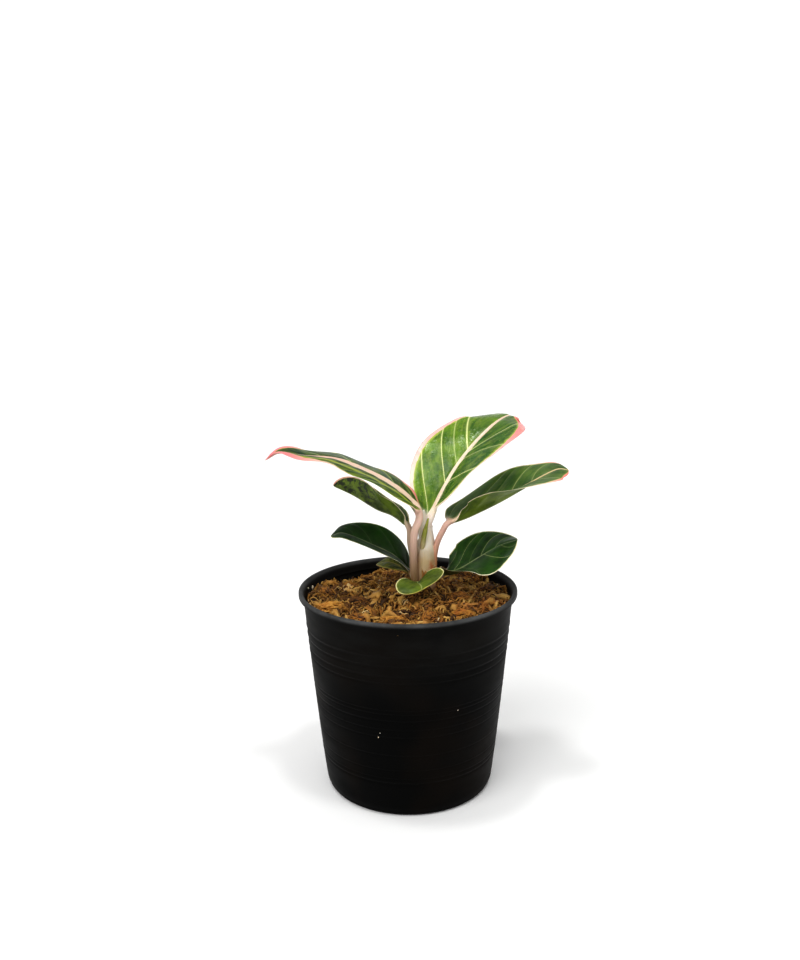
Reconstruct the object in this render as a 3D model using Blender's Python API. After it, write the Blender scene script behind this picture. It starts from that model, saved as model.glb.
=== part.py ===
"""Potted aglaonema: a young pink-edged plant in a black plastic nursery pot.

Run with: blender --background --python part.py
Metres, +Z up. The origin is the middle of the pot's underside, on the surface the pot stands on.
The dimensions below are in millimetres; MM turns them into metres as the points are made.
"""

import math

import bpy
import bmesh
from mathutils import Matrix, Vector, noise

MM = 0.001
GAP = 0.3            # clearance between pieces that touch
ROUND_GAP = 0.4      # the same between two round walls, which are faceted

# Pot
POT_HEIGHT = 98.0
RIM_RADIUS = 52.5
BASE_RADIUS = 40.3
WALL = 0.8
SHOULDER_Z = 95.2    # height where the wall runs into the lip
SHOULDER_RADIUS = 50.3
TAPER_BEND = 0.86    # below 1 the wall swells a little between foot and shoulder
LIP_DROP = 2.4       # height of the lip's outer edge
LIP_INNER = 51.1     # radius where the lip's top turns down into the pot
HEEL = 2.2           # how far the round heel of the wall reaches in and up
FLOOR = 0.9
HUB_RADIUS = 16.0    # flat disc in the middle of the underside
CHANNEL_INNER = 17.5
CHANNEL_OUTER = 30.5
CHANNEL_HEIGHT = 2.5
FOOT_INNER = 32.0
DRAIN_HOLES = 6
DRAIN_RADIUS = 4.0
DRAIN_CIRCLE = 24.0
POT_STEPS = 48

# Growing medium
MEDIUM_LEVEL = 92.4
MOUND_HEIGHT = 6.2
MOUND_SPREAD = 18.0
DIP = (-27.0, 36.0)  # the low corner at the back left
DIP_DEPTH = 4.0
DIP_SPREAD = 14.0
LUMPS = ((0.9, 9.0, 0.0), (0.5, 4.5, 40.0))   # height, spacing and slice of two layers of noise
MEDIUM_STEPS = POT_STEPS
MEDIUM_RINGS = 9
SEAT_INSET = 0.3     # how far the medium stands in from the steps in the pot's floor

# Stem
STEM_X = 8.2
STEM_Y = 1.5
STEM_PROFILE = ((80.0, 4.2), (88.0, 5.2), (98.0, 5.3), (106.0, 4.8), (113.0, 4.3), (119.0, 3.5), (121.6, 2.0))
STEM_SIDES = 20

# Cross sections of a leaf: stops from midrib to margin, and stations along the blade
ACROSS = (0.0, 0.14, 0.4, 0.72, 1.0)
BLADE_STATIONS = 14
PETIOLE_STATIONS = 7
BLADE_THICKNESS = 0.55
RIB_DEPTH = 1.7
RIB_TAPER = 0.75     # share of the rib's depth that is gone at the tip
RIB_SPREAD = 1.8
TIP_HALF_WIDTH = 0.35
OPENING = 0.08       # share of the blade over which the petiole flattens into it
STALK_REACH = 0.5    # share of the blade that keeps something of the petiole's width
STALK_FADE = 1.5
CURVE_STEPS = 16
STATION_EVENNESS = 0.35

# Leaves. petiole and blade are points on the midrib in millimetres; turn is the compass angle of the
# blade, roll tips it sideways, and half_widths are the widest left and right halves. widest says where
# along the blade that is, base_fullness (left, right) and tip_fullness round the ends. lift and curl
# raise each half from the midrib out, in degrees at the base, the middle and the tip.
LEAVES = {
    "leaf_left_long": dict(
        petiole=((4.2, -3.2, 99.4), (3.1, -4.3, 106), (2.8, -4.8, 116), (3.3, -4.9, 126)),
        blade=((5.3, -4.2, 136), (-7.4, -8.2, 150.3), (-30, -8.8, 161.9), (-48.8, -10.7, 165),
               (-58.7, -11.1, 166.4), (-65, -11.6, 162.6)),
        stalk=(2.4, 1.9), turn=170, roll=(2, 7, -4), half_widths=(14.4, 15.0), widest=0.43,
        base_fullness=(0.66, 0.55), tip_fullness=0.81, lift_left=(4, -7, 8), lift_right=(26, 8, 23),
        curl_left=(0, -7, 0), curl_right=(-2, -13, 2)),
    "leaf_top": dict(
        petiole=((8.5, 1.9, 122.0), (9.3, 2.2, 126.5)),
        blade=((10.9, 2.3, 131.5), (20.5, 6.9, 149.8), (31, 14.3, 163), (43.2, 24.1, 172.9),
               (52.1, 34.6, 175.8), (59.2, 39.1, 168.9)),
        stalk=(2.1, 1.8), turn=59, roll=(4, 0, 14), half_widths=(22.4, 19.7), widest=0.46,
        base_fullness=(0.52, 0.78), tip_fullness=0.74, lift_left=(24, 13, -6), lift_right=(50, 23, -15),
        curl_left=(8, -8, -25), curl_right=(9, -7, -29)),
    "leaf_right_up": dict(
        petiole=((11.9, 0.9, 103.6), (12.6, 0.6, 108), (12.9, 0.4, 114), (14.2, 0, 120), (16.6, -0.7, 125.5)),
        blade=((19.9, -1.2, 130.3), (29.8, 3.2, 133), (44, 2.6, 139.8), (59, 0.9, 148.6),
               (70.7, 1.7, 154.1), (77, 1.7, 153.4)),
        stalk=(1.7, 1.5), turn=2, roll=(0, 7, 14), half_widths=(17.5, 16.2), widest=0.52,
        base_fullness=(0.35, 0.45), tip_fullness=0.58, lift_left=(18, 20, -3), lift_right=(38, 33, -24),
        curl_left=(-8, -4, -10), curl_right=(6, 2, -18)),
    "leaf_left_mid": dict(
        petiole=((5.2, 2.6, 105.6), (2.7, 3.1, 111), (1.3, 3.2, 119)),
        blade=((0.5, 2.6, 127.4), (-6.2, 9.3, 131.9), (-14.8, 15, 134), (-25.9, 20.1, 139.4),
               (-36.5, 23.1, 143.6)),
        stalk=(1.6, 1.4), turn=155, roll=(1, 3, 2), half_widths=(13.0, 12.5), widest=0.58,
        base_fullness=(0.63, 0.63), tip_fullness=0.58, lift_left=(60, 50, 70), lift_right=(39, 18, 54),
        curl_left=(20, 13, 30), curl_right=(0, -9, 10)),
    "leaf_left_low": dict(
        petiole=((4.4, 2.2, 99.8), (2.5, 2.7, 101.8)),
        blade=((1.2, 2.8, 104.6), (-5.7, 0.9, 112.7), (-18, -0.1, 119.7), (-30.1, -1, 125.1),
               (-36.6, 0.4, 123.5)),
        stalk=(1.3, 1.2), turn=182, roll=(0, 3, 2), half_widths=(10.3, 13.5), widest=0.50,
        base_fullness=(0.63, 0.63), tip_fullness=0.63, lift_left=(-2, 2, -14), lift_right=(34, 39, 14),
        curl_left=(2, -5, -3), curl_right=(2, -5, -4)),
    "leaf_back_low": dict(
        petiole=((5.4, 4.9, 99.8), (3.3, 6.8, 101.3)),
        blade=((0.8, 8.6, 102.6), (-4.6, 12.0, 105.2), (-10.2, 15.4, 105.9), (-15.6, 18.2, 103.8)),
        stalk=(1.2, 1.1), turn=150, roll=(-18, -22, -18), half_widths=(5.4, 5.4), widest=0.52,
        base_fullness=(0.60, 0.60), tip_fullness=0.70, lift_left=(25, 8, 0), lift_right=(25, 8, 0),
        curl_left=(0, -10, -10), curl_right=(0, -10, -10)),
    "leaf_right_low": dict(
        petiole=((11.7, 2.7, 99.8), (14.6, 2.2, 101.8)),
        blade=((17.7, 0.9, 104.2), (25.3, -2.8, 107.8), (33.8, -4.3, 113.6), (42.8, -7, 119.8),
               (51.3, -9.5, 123.4)),
        stalk=(1.4, 1.2), turn=-2, roll=(-7, -1, -7), half_widths=(16.1, 17.0), widest=0.52,
        base_fullness=(0.38, 0.42), tip_fullness=0.56, lift_left=(44, 22, 0), lift_right=(5, -20, -30),
        curl_left=(22, 11, 0), curl_right=(90, 19, -20)),
    "leaf_front": dict(
        petiole=((9.7, -2.2, 99.8), (8.6, -5.6, 100.6), (6.6, -7.5, 101.7)),
        blade=((4.7, -9.2, 102.7), (5.2, -13.8, 103.8), (6.1, -18.5, 104.2), (6.3, -22, 103.7)),
        stalk=(1.3, 1.1), turn=-88, roll=(5, 10, 19), half_widths=(13.0, 11.4), widest=0.47,
        base_fullness=(0.50, 0.50), tip_fullness=0.60, lift_left=(36, 14, 7), lift_right=(28, 1, -16),
        curl_left=(24, 9, -1), curl_right=(14, 1, -6)),
}

# Youngest leaf, still rolled: midrib points and radii
ROLLED_PATH = ((7.6, -1.9, 118.4), (7.5, -3.4, 123.0), (8.6, -3.7, 128.0), (9.9, -3.5, 132.8))
ROLLED_RADII = (1.1, 1.35, 1.15, 0.35)

# Papery scale round the front of the stem
SHEATH_ANGLES = (-106.0, -52.0)
SHEATH_FOOT = 102.8
SHEATH_TOP = 108.6
SHEATH_THICKNESS = 0.5
SHEATH_NOTCH = 1.6   # depth of the tears along its top
SHEATH_SLANT = 2.2   # how far the top falls from one side to the other
SHEATH_STEPS = 8

# Loose chips of husk on the medium: place x, y, half sizes, and turn in degrees
CHIPS = {
    "husk_chip_01": ((-36.0, -18.0), (7.5, 4.6, 3.0), 25),
    "husk_chip_02": ((-22.5, -33.0), (5.2, 3.6, 2.6), -20),
    "husk_chip_03": ((-7.5, -34.5), (6.4, 3.2, 2.4), 12),
    "husk_chip_04": ((9.5, -33.0), (5.0, 3.6, 2.8), 70),
    "husk_chip_05": ((24.5, -28.0), (6.8, 3.8, 2.8), -35),
    "husk_chip_06": ((37.5, -12.5), (5.4, 3.8, 3.0), 80),
    "husk_chip_07": ((39.5, 6.5), (5.2, 3.4, 2.8), 55),
    "husk_chip_08": ((30.5, 24.0), (6.0, 3.6, 3.2), -40),
    "husk_chip_09": ((10.0, 30.0), (5.6, 3.8, 2.6), 15),
    "husk_chip_10": ((-9.0, 31.5), (5.0, 3.2, 2.6), -60),
    "husk_chip_11": ((-40.0, 4.5), (5.4, 3.4, 2.8), 95),
    "husk_chip_12": ((-24.5, -9.0), (5.6, 3.4, 2.4), -15),
    "husk_chip_13": ((-28.0, 12.5), (4.8, 3.2, 2.6), 40),
    "husk_chip_14": ((24.5, -9.5), (4.6, 3.0, 2.4), 10),
}
CHIP_RISE = 0.35     # share of a chip's half height that its middle stands above the surface
CHIP_ROUGHNESS = 0.28
CHIP_TILT = 9.0

# A dry fibre that stands up from the medium at the left
FIBRE_PATH = ((-31.0, 1.5, 93.3), (-31.6, 1.9, 97.0), (-32.6, 2.4, 101.5))
FIBRE_RADII = (1.0, 0.75, 0.3)

# Roots: a crown under the stem and thick roots that run out into the medium
CROWN_Z = 80.0
CROWN_OUTLINE = ((0.0, 9.0), (3.2, 8.0), (4.6, 4.5))   # radius, and depth below the crown's top
CROWN_NECK = 4.2
ROOT_COUNT = 5
ROOT_START = 2.0     # how far from the stem's axis a root leaves the crown
ROOT_REACH = 30.0
ROOT_DROP = 46.0
ROOT_SWING = 0.5
ROOT_RADIUS = 1.5
ROOT_TIP_RADIUS = 0.6
ROOT_STEPS = 8
ROOT_SIDES = 8

COLOURS = {
    "pot": ((0.012, 0.012, 0.012), 0.35),
    "growing_medium": ((0.18, 0.075, 0.02), 0.95),
    "stem": ((0.62, 0.50, 0.33), 0.50),
    "roots": ((0.62, 0.55, 0.40), 0.70),
    "rolled_leaf": ((0.22, 0.28, 0.06), 0.45),
    "dry_sheath": ((0.36, 0.20, 0.07), 0.80),
    "dry_fibre": ((0.30, 0.17, 0.07), 0.90),
    "leaf_top": ((0.13, 0.30, 0.035), 0.35),
}
LEAF_COLOUR = ((0.035, 0.11, 0.025), 0.40)
CHIP_COLOUR = ((0.36, 0.17, 0.04), 0.95)


# Small tools

def clear_scene():
    for thing in list(bpy.data.objects):
        bpy.data.objects.remove(thing, do_unlink=True)


def dress(thing, colour, roughness):
    """Give an object its own Principled material."""
    material = bpy.data.materials.new(thing.name)
    material.use_nodes = True
    shader = material.node_tree.nodes["Principled BSDF"]
    shader.inputs["Base Color"].default_value = (*colour, 1.0)
    shader.inputs["Roughness"].default_value = roughness
    thing.data.materials.append(material)


def make_object(name, bm, smooth_angle=40.0):
    """Finish a bmesh as a named object with outward faces."""
    bmesh.ops.recalc_face_normals(bm, faces=bm.faces)
    mesh = bpy.data.meshes.new(name)
    bm.to_mesh(mesh)
    bm.free()
    mesh.shade_smooth()
    mesh.set_sharp_from_angle(angle=math.radians(smooth_angle))
    thing = bpy.data.objects.new(name, mesh)
    bpy.context.scene.collection.objects.link(thing)
    return thing


def make_cutter(name, bm):
    """A shape that only cuts: it is hidden from renders and drawn as wire."""
    cutter = make_object(name, bm)
    cutter.hide_render = True
    cutter.display_type = "WIRE"
    return cutter


def boolean(thing, other, operation):
    modifier = thing.modifiers.new(operation.lower(), "BOOLEAN")
    modifier.operation = operation
    modifier.solver = "EXACT"
    modifier.object = other


def smooth_curve(points, steps):
    """Points on a Catmull-Rom curve through the given ones, steps to each span."""
    knots = [Vector(point) for point in points]
    knots = [2 * knots[0] - knots[1], *knots, 2 * knots[-1] - knots[-2]]
    curve = []
    for first, second, third, fourth in zip(knots, knots[1:], knots[2:], knots[3:]):
        for step in range(steps):
            t = step / steps
            curve.append(0.5 * (2 * second + t * (third - first)
                                + t * t * (2 * first - 5 * second + 4 * third - fourth)
                                + t ** 3 * (3 * second - first - 3 * third + fourth)))
    curve.append(knots[-2])
    return curve


def smooth_value(values, share):
    """The value at a share of the way along three values, on a smooth curve."""
    start, middle, end = values
    return (start * (1 - share) * (1 - 2 * share) + 4 * middle * share * (1 - share)
            + end * share * (2 * share - 1))


def resample(curve, shares):
    """Points at the given shares of a curve's length."""
    lengths = [0.0]
    for here, there in zip(curve, curve[1:]):
        lengths.append(lengths[-1] + (there - here).length)
    points = []
    index = 0
    for share in shares:
        target = share * lengths[-1]
        while index < len(curve) - 2 and lengths[index + 1] < target:
            index += 1
        span = max(lengths[index + 1] - lengths[index], 1e-9)
        points.append(curve[index].lerp(curve[index + 1], (target - lengths[index]) / span))
    return points


def tangents(points):
    ends = [points[0], *points, points[-1]]
    return [(after - before).normalized() for before, after in zip(ends, ends[2:])]


def loft(rings):
    """Extrude a cap from ring to ring; each ring is a list of points in millimetres."""
    bm = bmesh.new()
    first = bmesh.ops.create_circle(bm, cap_ends=True, segments=len(rings[0]), radius=1.0)["verts"]
    cap = first[0].link_faces[0]
    for vert, point in zip(cap.verts, rings[0]):
        vert.co = point * MM
    foot = cap
    for ring in rings[1:]:
        grown = bmesh.ops.extrude_face_region(bm, geom=[cap])["geom"]
        if cap is not foot:
            bmesh.ops.delete(bm, geom=[cap], context="FACES_ONLY")
        cap = next(item for item in grown if isinstance(item, bmesh.types.BMFace))
        for vert, point in zip(cap.verts, ring):
            vert.co = point * MM
    return bm


def tube(path, radii, sides):
    """A round tapered tube along a path, with closed ends."""
    rings = []
    for point, forward, radius in zip(path, tangents(path), radii):
        side = forward.cross(Vector((0, 1, 0)) if abs(forward.y) < 0.9 else Vector((1, 0, 0))).normalized()
        up = side.cross(forward)
        angles = [math.tau * step / sides for step in range(sides)]
        rings.append([point + radius * (math.cos(a) * side + math.sin(a) * up) for a in angles])
    return loft(rings)


def lathe(profile, steps):
    """Spin an outline that starts and ends on the Z axis, of (radius, height) points in millimetres."""
    bm = bmesh.new()
    verts = [bm.verts.new((radius * MM, 0, height * MM)) for radius, height in profile]
    edges = [bm.edges.new(pair) for pair in zip(verts, verts[1:])]
    bmesh.ops.spin(bm, geom=verts + edges, cent=(0, 0, 0), axis=(0, 0, 1), angle=math.tau,
                   steps=steps, use_merge=True)
    bmesh.ops.remove_doubles(bm, verts=bm.verts, dist=0.00001)
    return bm


# Pot

def outer_radius(height):
    """Outer radius of the pot's tapered wall at a height."""
    return BASE_RADIUS + (SHOULDER_RADIUS - BASE_RADIUS) * (height / SHOULDER_Z) ** TAPER_BEND


def pot_profile():
    """Outline of the pot's wall, from the axis under the floor out and round to the axis inside."""
    underside = [(0, 0), (HUB_RADIUS, 0), (CHANNEL_INNER, CHANNEL_HEIGHT), (CHANNEL_OUTER, CHANNEL_HEIGHT),
                 (FOOT_INNER, 0), (BASE_RADIUS - HEEL, 0), (BASE_RADIUS - 0.3 * HEEL, 0.3 * HEEL),
                 (BASE_RADIUS, HEEL)]
    outer = [(outer_radius(height), height) for height in (20, 50, 80, SHOULDER_Z)]
    lip_under = POT_HEIGHT - LIP_DROP
    lip = [(SHOULDER_RADIUS + 0.5, lip_under), (RIM_RADIUS - 0.3, lip_under), (RIM_RADIUS, lip_under + 0.3),
           (RIM_RADIUS, POT_HEIGHT - 0.8), (RIM_RADIUS - 0.25, POT_HEIGHT - 0.25),
           (RIM_RADIUS - 0.8, POT_HEIGHT), (LIP_INNER, POT_HEIGHT), (LIP_INNER - 0.5, POT_HEIGHT - 0.5)]
    inner = [(outer_radius(height) - WALL, height) for height in (SHOULDER_Z, 80, 50, 20)]
    floor = [(BASE_RADIUS - WALL, 2.6), (BASE_RADIUS - 2.0, FLOOR), (FOOT_INNER - 0.6, FLOOR),
             (CHANNEL_OUTER - 0.6, CHANNEL_HEIGHT + FLOOR), (CHANNEL_INNER + 0.6, CHANNEL_HEIGHT + FLOOR),
             (HUB_RADIUS + 0.6, FLOOR), (0, FLOOR)]
    return underside + outer + lip + inner + floor


def build_pot():
    pot = make_object("pot", lathe(pot_profile(), POT_STEPS))
    bm = bmesh.new()
    for index in range(DRAIN_HOLES):
        angle = math.tau * (index + 0.5) / DRAIN_HOLES
        place = Matrix.Translation((DRAIN_CIRCLE * MM * math.cos(angle), DRAIN_CIRCLE * MM * math.sin(angle),
                                    (CHANNEL_HEIGHT + FLOOR / 2) * MM))
        bmesh.ops.create_cone(bm, cap_ends=True, segments=16, radius1=DRAIN_RADIUS * MM,
                              radius2=DRAIN_RADIUS * MM, depth=3 * MM, matrix=place)
    boolean(pot, make_cutter("drain_cutter", bm), "DIFFERENCE")


# Growing medium

def medium_height(x, y):
    """Height of the medium's surface, mounded at the stem and low at the back left."""
    from_stem = math.hypot(x - STEM_X, y - STEM_Y)
    mound = MOUND_HEIGHT * math.exp(-(from_stem / MOUND_SPREAD) ** 2)
    dip = DIP_DEPTH * math.exp(-(math.hypot(x - DIP[0], y - DIP[1]) / DIP_SPREAD) ** 2)
    lumps = [height * noise.noise(Vector((x, y, layer)) / spacing) for height, spacing, layer in LUMPS]
    return MEDIUM_LEVEL + mound - dip + sum(lumps)


def medium_mesh(raised=0.0):
    """The mass of medium; raised lifts its surface, for cutting what lies on it."""
    level = MEDIUM_LEVEL
    low, high = FLOOR + GAP, CHANNEL_HEIGHT + FLOOR + GAP
    body = [(0, low), (HUB_RADIUS + SEAT_INSET, low), (CHANNEL_INNER + SEAT_INSET, high),
            (CHANNEL_OUTER - SEAT_INSET, high), (FOOT_INNER - SEAT_INSET, low),
            (BASE_RADIUS - HEEL - GAP, low), (BASE_RADIUS - WALL - ROUND_GAP, HEEL + 2 * GAP)]
    body += [(outer_radius(height) - WALL - ROUND_GAP, height) for height in (20, 50, 80)]
    edge = outer_radius(level) - WALL - ROUND_GAP
    top = [(edge * ring / MEDIUM_RINGS, level) for ring in range(MEDIUM_RINGS, 0, -1)]
    bm = lathe(body + top + [(0, level)], MEDIUM_STEPS)
    for vert in bm.verts:
        if vert.co.z > (level - 0.01) * MM:
            height = medium_height(vert.co.x / MM, vert.co.y / MM)
            room = (outer_radius(height) - WALL - ROUND_GAP) / edge
            vert.co = (vert.co.x * room, vert.co.y * room, (height + raised) * MM)
    bmesh.ops.triangulate(bm, faces=bm.faces)
    return bm


def build_medium():
    medium = make_object("growing_medium", medium_mesh(), smooth_angle=60.0)
    boolean(medium, make_cutter("stem_socket_cutter", stem_mesh(GAP)), "DIFFERENCE")
    for index in range(ROOT_COUNT):
        boolean(medium, make_cutter(f"root_socket_cutter_{index + 1}", root_mesh(index, GAP)), "DIFFERENCE")


# Stem and roots

def stem_mesh(grown=0.0):
    """The stem's column; grown adds clearance all round and at both ends."""
    heights = [height for height, radius in STEM_PROFILE]
    heights[0] -= grown
    heights[-1] += grown
    side = [(radius + grown, height) for height, (level, radius) in zip(heights, STEM_PROFILE)]
    bm = lathe([(0, heights[0]), *side, (0, heights[-1])], STEM_SIDES)
    bmesh.ops.translate(bm, verts=bm.verts, vec=(STEM_X * MM, STEM_Y * MM, 0))
    return bm


def root_path(index):
    """Route of one root: out of the crown, sinking and swinging sideways as it goes."""
    angle = math.tau * (index + 0.3) / ROOT_COUNT
    path = []
    crown_middle = CROWN_Z - CROWN_OUTLINE[-1][1]
    for step in range(ROOT_STEPS + 1):
        share = step / ROOT_STEPS
        swing = angle + ROOT_SWING * math.sin(2.6 * share + index)
        reach = ROOT_START + ROOT_REACH * share ** 0.8 * (0.75 + 0.08 * index)
        path.append(Vector((STEM_X + reach * math.cos(swing), STEM_Y + reach * math.sin(swing),
                            crown_middle - ROOT_DROP * share ** 1.3)))
    return path


def root_mesh(index, grown=0.0):
    path = root_path(index)
    shares = [step / ROOT_STEPS for step in range(ROOT_STEPS + 1)]
    radii = [ROOT_RADIUS + (ROOT_TIP_RADIUS - ROOT_RADIUS) * share + grown for share in shares]
    if grown:
        path[-1] = path[-1] + tangents(path)[-1] * grown * 2
    return tube(path, radii, ROOT_SIDES)


def crown_mesh(grown=0.0):
    """The rounded crown that the roots grow from, just under the stem's foot."""
    top = CROWN_Z - 2 * GAP
    outline = [(radius + grown if radius else 0, top - depth - grown) for radius, depth in CROWN_OUTLINE]
    outline += [(CROWN_NECK + grown, top + 3 * grown), (0, top + 3 * grown)]
    bm = lathe(outline, STEM_SIDES)
    bmesh.ops.translate(bm, verts=bm.verts, vec=(STEM_X * MM, STEM_Y * MM, 0))
    return bm


def build_stem():
    make_object("stem", stem_mesh())


def build_roots():
    roots = make_object("roots", crown_mesh())
    for index in range(ROOT_COUNT):
        boolean(roots, make_cutter(f"root_{index + 1}", root_mesh(index)), "UNION")
    socket = make_cutter("crown_socket_cutter", crown_mesh(GAP))
    boolean(bpy.data.objects["growing_medium"], socket, "DIFFERENCE")


# Leaves

def blade_outline(share, leaf, half):
    """Width of the left (0) or right (1) half of the blade at a share of its length from the base."""
    bend = math.log(0.5) / math.log(leaf["widest"])
    fullness = leaf["base_fullness"][half] if share < leaf["widest"] else leaf["tip_fullness"]
    return leaf["half_widths"][half] * max(math.sin(math.pi * min(share, 1.0) ** bend), 0.0) ** fullness


def leaf_stations(leaf):
    """Points down the petiole and blade, each with its share of the blade (below 0 on the petiole)."""
    petiole = leaf["petiole"]
    curve = smooth_curve(petiole + leaf["blade"], CURVE_STEPS)
    base = len(petiole) * CURVE_STEPS
    stalk_shares = [step / PETIOLE_STATIONS for step in range(PETIOLE_STATIONS)]
    even_shares = [step / (BLADE_STATIONS - 1) for step in range(BLADE_STATIONS)]
    crowded = [(1 - math.cos(math.pi * share)) / 2 for share in even_shares]
    blade_shares = [a + STATION_EVENNESS * (b - a) for a, b in zip(crowded, even_shares)]
    points = resample(curve[:base + 1], stalk_shares) + resample(curve[base:], blade_shares)
    return points, [share - 1 for share in stalk_shares] + blade_shares


def leaf_ring(leaf, centre, forward, share):
    """The closed cross section of a leaf at one station."""
    turn = math.radians(leaf["turn"])
    along = max(share, 0.0)
    left = Vector((-math.sin(turn), math.cos(turn), 0))
    left = (left - forward * forward.dot(left)).normalized()
    up = forward.cross(left)
    roll = math.radians(smooth_value(leaf["roll"], along)) * min(1.0, 1 + share)
    left, up = math.cos(roll) * left + math.sin(roll) * up, math.cos(roll) * up - math.sin(roll) * left
    opened = min(1.0, along / OPENING)
    opened = opened * opened * (3 - 2 * opened)
    stalk_fade = max(0.0, 1 - along / STALK_REACH) ** STALK_FADE
    stalk_width, stalk_depth = leaf["stalk"]
    top, bottom = {}, {}
    for side, key in ((1, "left"), (-1, "right")):
        wide = blade_outline(along, leaf, 0 if side > 0 else 1) if share > 0 else 0.0
        wide = max(((stalk_width * stalk_fade) ** 3 + wide ** 3) ** (1 / 3), TIP_HALF_WIDTH)
        lift = math.radians(smooth_value(leaf["lift_" + key], along)) * opened
        curl = math.radians(smooth_value(leaf["curl_" + key], along)) * opened
        across, rise, previous = 0.0, 0.0, 0.0
        for place in ACROSS:
            middle = lift + curl * (previous + place) / 2
            across += (place - previous) * math.cos(middle)
            rise += (place - previous) * math.sin(middle)
            previous = place
            slope = lift + curl * place
            surface = centre + wide * (side * across * left + rise * up)
            normal = math.cos(slope) * up - side * math.sin(slope) * left
            round_part = math.sqrt(max(0.0, 1 - place * place))
            thin = BLADE_THICKNESS * (1 - place ** 4)
            rib = RIB_DEPTH * (1 - RIB_TAPER * along) * math.exp(-(place * wide / RIB_SPREAD) ** 2)
            above = (1 - opened) * stalk_depth * round_part + opened * thin / 2
            below = (1 - opened) * stalk_depth * round_part + opened * (thin / 2 + rib * min(1.0, wide / 3))
            top[side, place] = surface + above * normal
            bottom[side, place] = surface - below * normal
            if place == 0.0:
                top[side, place] = surface + above * up
                bottom[side, place] = surface - below * up
    rising = list(ACROSS)
    ring = [top[1, place] for place in reversed(rising)]
    ring += [top[-1, place] for place in rising[1:]]
    ring += [bottom[-1, place] for place in reversed(rising[:-1])]
    ring += [bottom[1, place] for place in rising[1:-1]]
    return ring


def leaf_mesh(leaf):
    points, shares = leaf_stations(leaf)
    rings = [leaf_ring(leaf, *station) for station in zip(points, tangents(points), shares)]
    bm = loft(rings)
    bmesh.ops.triangulate(bm, faces=bm.faces)
    return bm


def build_leaves():
    """Every leaf is one solid, petiole and blade, cut where its foot clasps the stem."""
    cutter = make_cutter("stem_cutter", stem_mesh(GAP))
    for name, leaf in LEAVES.items():
        boolean(make_object(name, leaf_mesh(leaf)), cutter, "DIFFERENCE")
    rolled = make_object("rolled_leaf", tube(*tapered(ROLLED_PATH, ROLLED_RADII, 4), 10))
    boolean(rolled, cutter, "DIFFERENCE")


def tapered(path, radii, steps):
    """A smooth path through the points, with radii to match."""
    curve = smooth_curve(path, steps)
    widths = smooth_curve([(radius, 0, 0) for radius in radii], steps)
    return curve, [width.x for width in widths]


# Small pieces

def stem_radius(height):
    for (low, low_radius), (high, high_radius) in zip(STEM_PROFILE, STEM_PROFILE[1:]):
        if height <= high:
            return low_radius + (high_radius - low_radius) * (height - low) / (high - low)
    return STEM_PROFILE[-1][1]


def build_sheath():
    """A thin curved scale, ragged along its top, lofted from one side to the other."""
    first, last = (math.radians(angle) for angle in SHEATH_ANGLES)
    rings = []
    for step in range(SHEATH_STEPS + 1):
        along = step / SHEATH_STEPS
        angle = first + (last - first) * along
        outward = Vector((math.cos(angle), math.sin(angle), 0))
        top = SHEATH_TOP - SHEATH_NOTCH * abs(math.sin(9 * along)) - SHEATH_SLANT * along
        heights = [SHEATH_FOOT + (top - SHEATH_FOOT) * up / 3 for up in range(4)]
        inner = [stem_radius(height) + ROUND_GAP for height in heights]
        outer = [radius + SHEATH_THICKNESS for radius in inner]
        section = list(zip(inner, heights)) + list(zip(outer, heights))[::-1]
        rings.append([Vector((STEM_X, STEM_Y, height)) + radius * outward for radius, height in section])
    make_object("dry_sheath", loft(rings))


def chip_mesh(place, half_sizes, turn, seed):
    """A torn lump of husk: an icosphere pushed about by noise."""
    bm = bmesh.new()
    bmesh.ops.create_icosphere(bm, subdivisions=2, radius=1.0)
    for vert in bm.verts:
        push = 1 + CHIP_ROUGHNESS * noise.noise(vert.co * 1.7 + Vector((seed * 3.1, 0, 0)))
        vert.co = Vector([value * half * push for value, half in zip(vert.co, half_sizes)])
    x, y = place
    middle = medium_height(x, y) + CHIP_RISE * half_sizes[2]
    tilt = Matrix.Rotation(math.radians(CHIP_TILT * math.sin(seed)), 4, "Y")
    spin = Matrix.Rotation(math.radians(turn), 4, "Z")
    bmesh.ops.transform(bm, verts=bm.verts, matrix=Matrix.Translation((x, y, middle)) @ spin @ tilt)
    bmesh.ops.scale(bm, verts=bm.verts, vec=(MM, MM, MM))
    return bm


def build_loose_pieces():
    """Chips and the fibre, each cut underneath so that it lies on the medium."""
    cutter = make_cutter("medium_cutter", medium_mesh(GAP))
    for seed, (name, (place, half_sizes, turn)) in enumerate(CHIPS.items(), 1):
        chip = make_object(name, chip_mesh(place, half_sizes, turn, seed), smooth_angle=60.0)
        boolean(chip, cutter, "DIFFERENCE")
    fibre = make_object("dry_fibre", tube(*tapered(FIBRE_PATH, FIBRE_RADII, 3), 6))
    boolean(fibre, cutter, "DIFFERENCE")


def colour_everything():
    for thing in bpy.context.scene.objects:
        if thing.hide_render:
            continue
        fallback = CHIP_COLOUR if thing.name.startswith("husk") else LEAF_COLOUR
        dress(thing, *COLOURS.get(thing.name, fallback))


def main():
    clear_scene()
    build_pot()
    build_medium()
    build_stem()
    build_roots()
    build_leaves()
    build_sheath()
    build_loose_pieces()
    colour_everything()


main()
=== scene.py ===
"""Looks of the potted aglaonema: fine meshes and finishes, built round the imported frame.

Lengths are in millimetres in the frame's axes, and MM turns them into metres as a mesh is finished.
Points nearer than MERGE are one.
"""

import logging
import math
from dataclasses import dataclass, field
from enum import Enum
from typing import Sequence

import bmesh
import bpy
import numpy as np
from mathutils import Matrix, Vector, noise


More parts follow.
